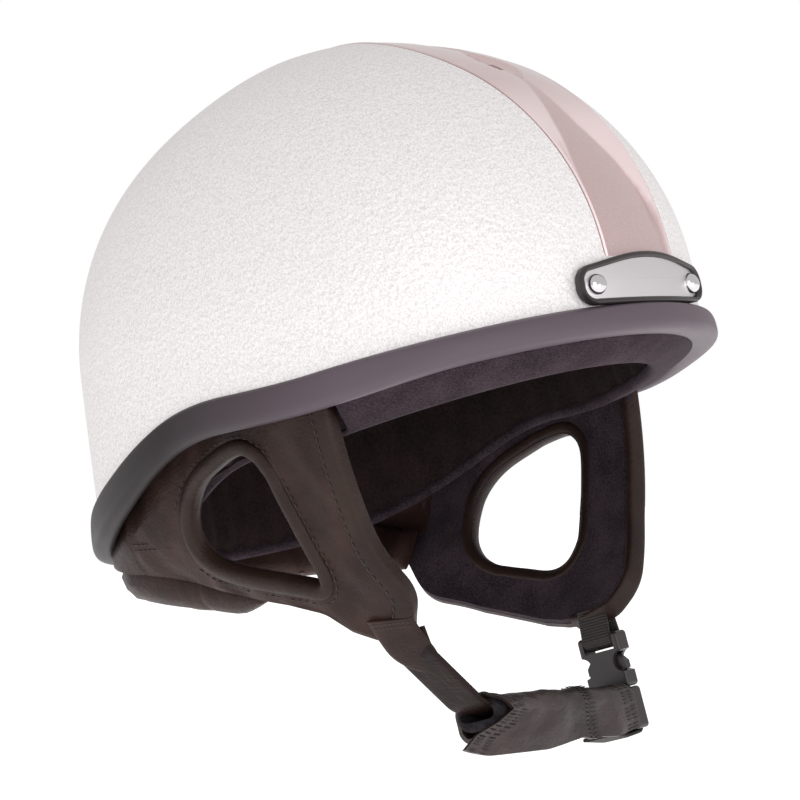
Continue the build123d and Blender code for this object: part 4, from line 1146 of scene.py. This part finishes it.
for side, word, width, finish, slot in ((-1, "right", strap_width, hide, "leather"),
                                        (1, "left", webbing_width, black_web, "web_fabric")):
    lengths = np.r_[np.linspace(tab_top, swing_place[2], 12), swing_place[2] - width / 2 * np.sin(
        np.linspace(0.15, np.pi / 2 - 0.02, 9))]
    halves_at = np.where(lengths >= swing_place[2], width / 2, np.sqrt(np.clip(
        (width / 2) ** 2 - (lengths - swing_place[2]) ** 2, 1e-8, 1)))
    across_tab = np.sin(np.linspace(-np.pi / 2, np.pi / 2, 15))
    y = swing_place[1] + across_tab[None, :] * halves_at[:, None]
    z = np.broadcast_to(lengths[:, None], y.shape)
    rounded = 0.0006 * (1 - across_tab**8)[None, :]
    tab = slab(f"strap_tab_sewn_{word}", on_side(y, z, side, tab_lift + tab_wall - 0.0006 + rounded),
               on_side(y, z, side, tab_lift))
    dress(tab, finish, "cap", "leather", f"strap_tab_{word}")
bar_rows = []
for step in range(2):
    for side, share in ((-1, 1.0), (1, webbing_width / strap_width)):
        y = swing_place[1] + np.linspace(-0.0065, 0.0065, 9) * share
        z = np.full(9, tab_top - 0.0012 - step * 0.0014)
        place = on_side(y, z, side, tab_lift + tab_wall)
        bar_rows.append((place, directions(place, False), side_out(y, z, side)))
stitch_rows("tab_stitches", bar_rows, 0.0015, 0.0006, brown_thread, "cap", "leather")

# Chin strap: a doubled leather strap from the right tab, folded to run under the chin, and the
# webbing that it carries through the sleeve, round the buckle's bar and back as a short tail.
hang_angle = radians(9)
hang_up = np.array((0, sin(hang_angle), cos(hang_angle)))
hang_back = np.array((0, cos(hang_angle), -sin(hang_angle)))
strap_wall = 0.0024
strap_path = ((-0.0560, 0.0060), (-0.0545, -0.0025), (-0.0335, -0.0246), (-0.0210, -0.0283), (0.0300, -0.0360))
strap_bends = (0.006, 0.012, 0.010)
fold_start = (-0.0390, -0.0230)
fold_end = (-0.0290, -0.0300)
webbing_wall = 0.0016
webbing_path = ((0.0020, -0.0349), (0.0440, -0.0404), (0.0534, -0.0436), (0.0534, -0.0485), (0.0440, -0.0490),
                (0.0330, -0.0470))
webbing_bends = (0.004, 0.0022, 0.0022, 0.004)


def hang(x, back_by, up_by):
    """Points of the hanging strap: along X, and back and up in its leaning plane."""
    x, back_by, up_by = (np.asarray(v, float)[..., None] for v in np.broadcast_arrays(x, back_by, up_by))
    return swing_place + x * (1, 0, 0) + back_by * hang_back + up_by * hang_up


def strap_sections(path, width, wall, sides=28):
    """Lattice of a flat strap with rounded edges along a path in the plane across the cap."""
    normal = beside(path, False)
    turn = np.linspace(0, 2 * np.pi, sides, endpoint=False)
    flat = np.sign(np.cos(turn)) * np.abs(np.cos(turn)) ** 0.25 * width / 2
    thick = np.sign(np.sin(turn)) * np.abs(np.sin(turn)) ** 0.5 * wall / 2
    x = path[:, 0][:, None] + normal[:, 0][:, None] * thick
    up_at = path[:, 1][:, None] + normal[:, 1][:, None] * thick
    return hang(x, flat[None, :], up_at)


strap_line = fillet_path(strap_path, strap_bends, 0.0010)
strap = lattice("chin_strap_leather", strap_sections(strap_line, strap_width, strap_wall), False, True, 50)
# Painted shade: the strap is the side pieces' leather, drawn darker to stand for the shade it hangs in.
paint(strap, creased_leather("strap leather with painted shade", "#19100E", "#281B18", 950, 0.14))
tuple(hang(fold_start[0], 0, fold_start[1]))
tuple(hang(fold_end[0], 0, fold_end[1]))
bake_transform(strap)
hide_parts("strap_root", "chin_strap")

web_line = fillet_path(webbing_path, webbing_bends, 0.0007)
web = lattice("chin_webbing", strap_sections(web_line, webbing_width, webbing_wall), False, True, 50)
dress(web, black_web, "chin", "web_fabric", "webbing")

# Sleeve: a soft leather wrap with a lapped flap along its lower edge, lined with dark fleece. Its open
# end is cut back in a curve above the flap's point, both ends are overlocked, and a seam crosses it.
sleeve_start = (-0.0300, -0.0294)
sleeve_end = (0.0455, -0.0376)
sleeve_wrap = ((-0.0128, -0.0104), (-0.0128, 0.0080), (0.0112, 0.0080), (0.0112, -0.0086), (-0.0104, -0.0088))
sleeve_bends = (0.0062, 0.0060, 0.0050)
edge_shares = (0.0, 0.12, 0.35, 0.55, 0.63, 0.68, 0.80, 1.0)
edge_drops = (-0.0004, 0.0022, 0.0024, -0.0006, 0.0010, 0.0002, 0.0010, -0.0012)
sleeve_skin = 0.0017
end_heights = (-0.0104, -0.0062, -0.0035, 0.0000, 0.0040, 0.0080)
end_shifts = (-0.0215, -0.0150, -0.0030, 0.0055, 0.0015, -0.0070)
flap_width = 0.18
flap_curl = 0.0030
seam_share = 0.63
sleeve_rows = 96
overlock_pitch = 0.0016

shares_along = np.linspace(0, 1, sleeve_rows)
wrap_line = fillet_path(sleeve_wrap, sleeve_bends, 0.0007)
wrap_out = beside(wrap_line, False)
if wrap_out[len(wrap_out) // 4] @ wrap_line[len(wrap_out) // 4] < 0:
    wrap_out = -wrap_out
down_share = np.linspace(0, 1, len(wrap_line))


def sleeve_middle(share, sag):
    """Places of the sleeve's middle line at shares of its length, across and up, as columns."""
    x, up_at = (start + (end - start) * share[:, None] for start, end in zip(sleeve_start, sleeve_end))
    return x, up_at - sag * np.sin(np.pi * share)[:, None]


def sleeve_point(share, section):
    """Points of the sleeve at shares of its length, for a section of back and up offsets."""
    x, up_at = sleeve_middle(share, 0.0012)
    return hang(x, section[None, :, 0], up_at + section[None, :, 1])


base = sleeve_point(shares_along, wrap_line)
plump = 1 + 0.05 * np.sin(np.pi * shares_along) - 0.07 * np.exp(-((shares_along - seam_share) / 0.012) ** 2)
relief = waves(base, 0.018, 21) * 0.0005 + waves(base, 0.007, 22) * 0.0001
flap_share = np.clip((flap_width - down_share[None, :]) / flap_width, 0, 1)
flap_drop = np.interp(shares_along, edge_shares, edge_drops)[:, None] * flap_share
flap_back = flap_curl * np.exp(-(shares_along / 0.16) ** 2)[:, None] * flap_share
end_fade = np.exp(-(shares_along / 0.32) ** 2)[:, None]


def sleeve_skin_at(lift):
    """One face of the sleeve's leather."""
    section = wrap_line[None] * plump[:, None, None] + wrap_out[None] * (relief[..., None] + lift)
    x, up_at = sleeve_middle(shares_along, 0.0010)
    x = x + (section[..., 1] + 0.003) * 0.10 + end_fade * smooth_step(
        -section[..., 0] / 0.012) * np.interp(section[..., 1], end_heights, end_shifts)
    return hang(x, section[..., 0] + flap_back, up_at + section[..., 1] - flap_drop)


sleeve_hide = creased_leather("waxed soft sleeve leather", "#271D1C", "#3A2E2C", 900, 0.6)
sleeve = slab("sleeve_leather_wrap", sleeve_skin_at(0.0), sleeve_skin_at(-sleeve_skin), sharp=45)
dress(sleeve, sleeve_hide, "sleeve", "leather", "sleeve_leather")

fleece_loop = fillet_path(((-0.0098, -0.0046), (0.0092, -0.0046), (0.0092, 0.0060), (-0.0104, 0.0060)),
                          (0.0042,) * 4, 0.0007, True)
slot_loop = fleece_loop * (0.86, 0.45) + (0, 0.0006)
fleece_shares = np.r_[-0.015, np.linspace(-0.012, 1.012, 60), 1.015]
rows = []
for share in fleece_shares:
    fluff = 0.03 * waves(np.c_[fleece_loop, np.full(len(fleece_loop), share * 0.07)], 0.006, 31)
    taper = 0.96 if share in (fleece_shares[0], fleece_shares[-1]) else 1
    rows.append(sleeve_point(np.array([share]), fleece_loop * (1 + fluff)[:, None] * taper)[0])
for share in fleece_shares[::-1]:
    rows.append(sleeve_point(np.array([share]), slot_loop)[0])
fleece_finish = brushed_knit("charcoal fleece", "#0F0D0F", "#2A272B", 620, 0.4)
fleece = lattice("sleeve_fleece_lining", np.array(rows), True, True, 60)
dress(fleece, fleece_finish, "sleeve", "fleece", "sleeve_fleece")

outer_face = sleeve_skin_at(0.0002)
along_sleeve = unit(np.gradient(outer_face, axis=0))
face_out = unit(np.cross(np.gradient(outer_face, axis=0), np.gradient(outer_face, axis=1)))
if (face_out[:, 20] @ (-hang_back)).mean() < 0:
    face_out = -face_out
runs = []
for share in (0.035, 0.085, 0.915, 0.965, seam_share - 0.022, seam_share + 0.022):
    row = int(round(share * (sleeve_rows - 1)))
    spacing = np.linalg.norm(np.diff(outer_face[row], axis=0), axis=1).cumsum()
    picks = np.searchsorted(spacing, np.arange(0.001, spacing[-1] - 0.001, overlock_pitch))
    runs.append((outer_face[row, picks], along_sleeve[row, picks], face_out[row, picks]))
stitch_rows("sleeve_stitches", runs, 0.0034, 0.0006, brown_thread, "sleeve", "leather")

# Buckle: a side release buckle moulded in black nylon, hung from the left tab by a loop of ribbed
# webbing. Its prongs squeeze inwards to let the lower half go.
buckle_x = 0.051
bar_drop = 0.0108
loop_reach = 0.0033
loop_wall = 0.0016

for node in ("buckle_female", "buckle_male", "buckle_prong_front", "buckle_prong_rear"):
    paint(nodes[node], black_nylon)
loop_path = [(buckle_x + loop_reach * 0.55, 0.001)]
loop_path += [(buckle_x + loop_reach * cos(angle), -bar_drop - loop_reach * sin(angle))
              for angle in np.linspace(0, np.pi, 13)]
loop_path.append((buckle_x - loop_reach * 0.55, 0.001))
loop_line = even_points(np.array(loop_path), 0.0006)
loop = lattice("buckle_webbing_loop", strap_sections(loop_line, webbing_width, loop_wall), False, True, 50)
dress(loop, black_web, "buckle_socket", "web_fabric", "buckle_loop")
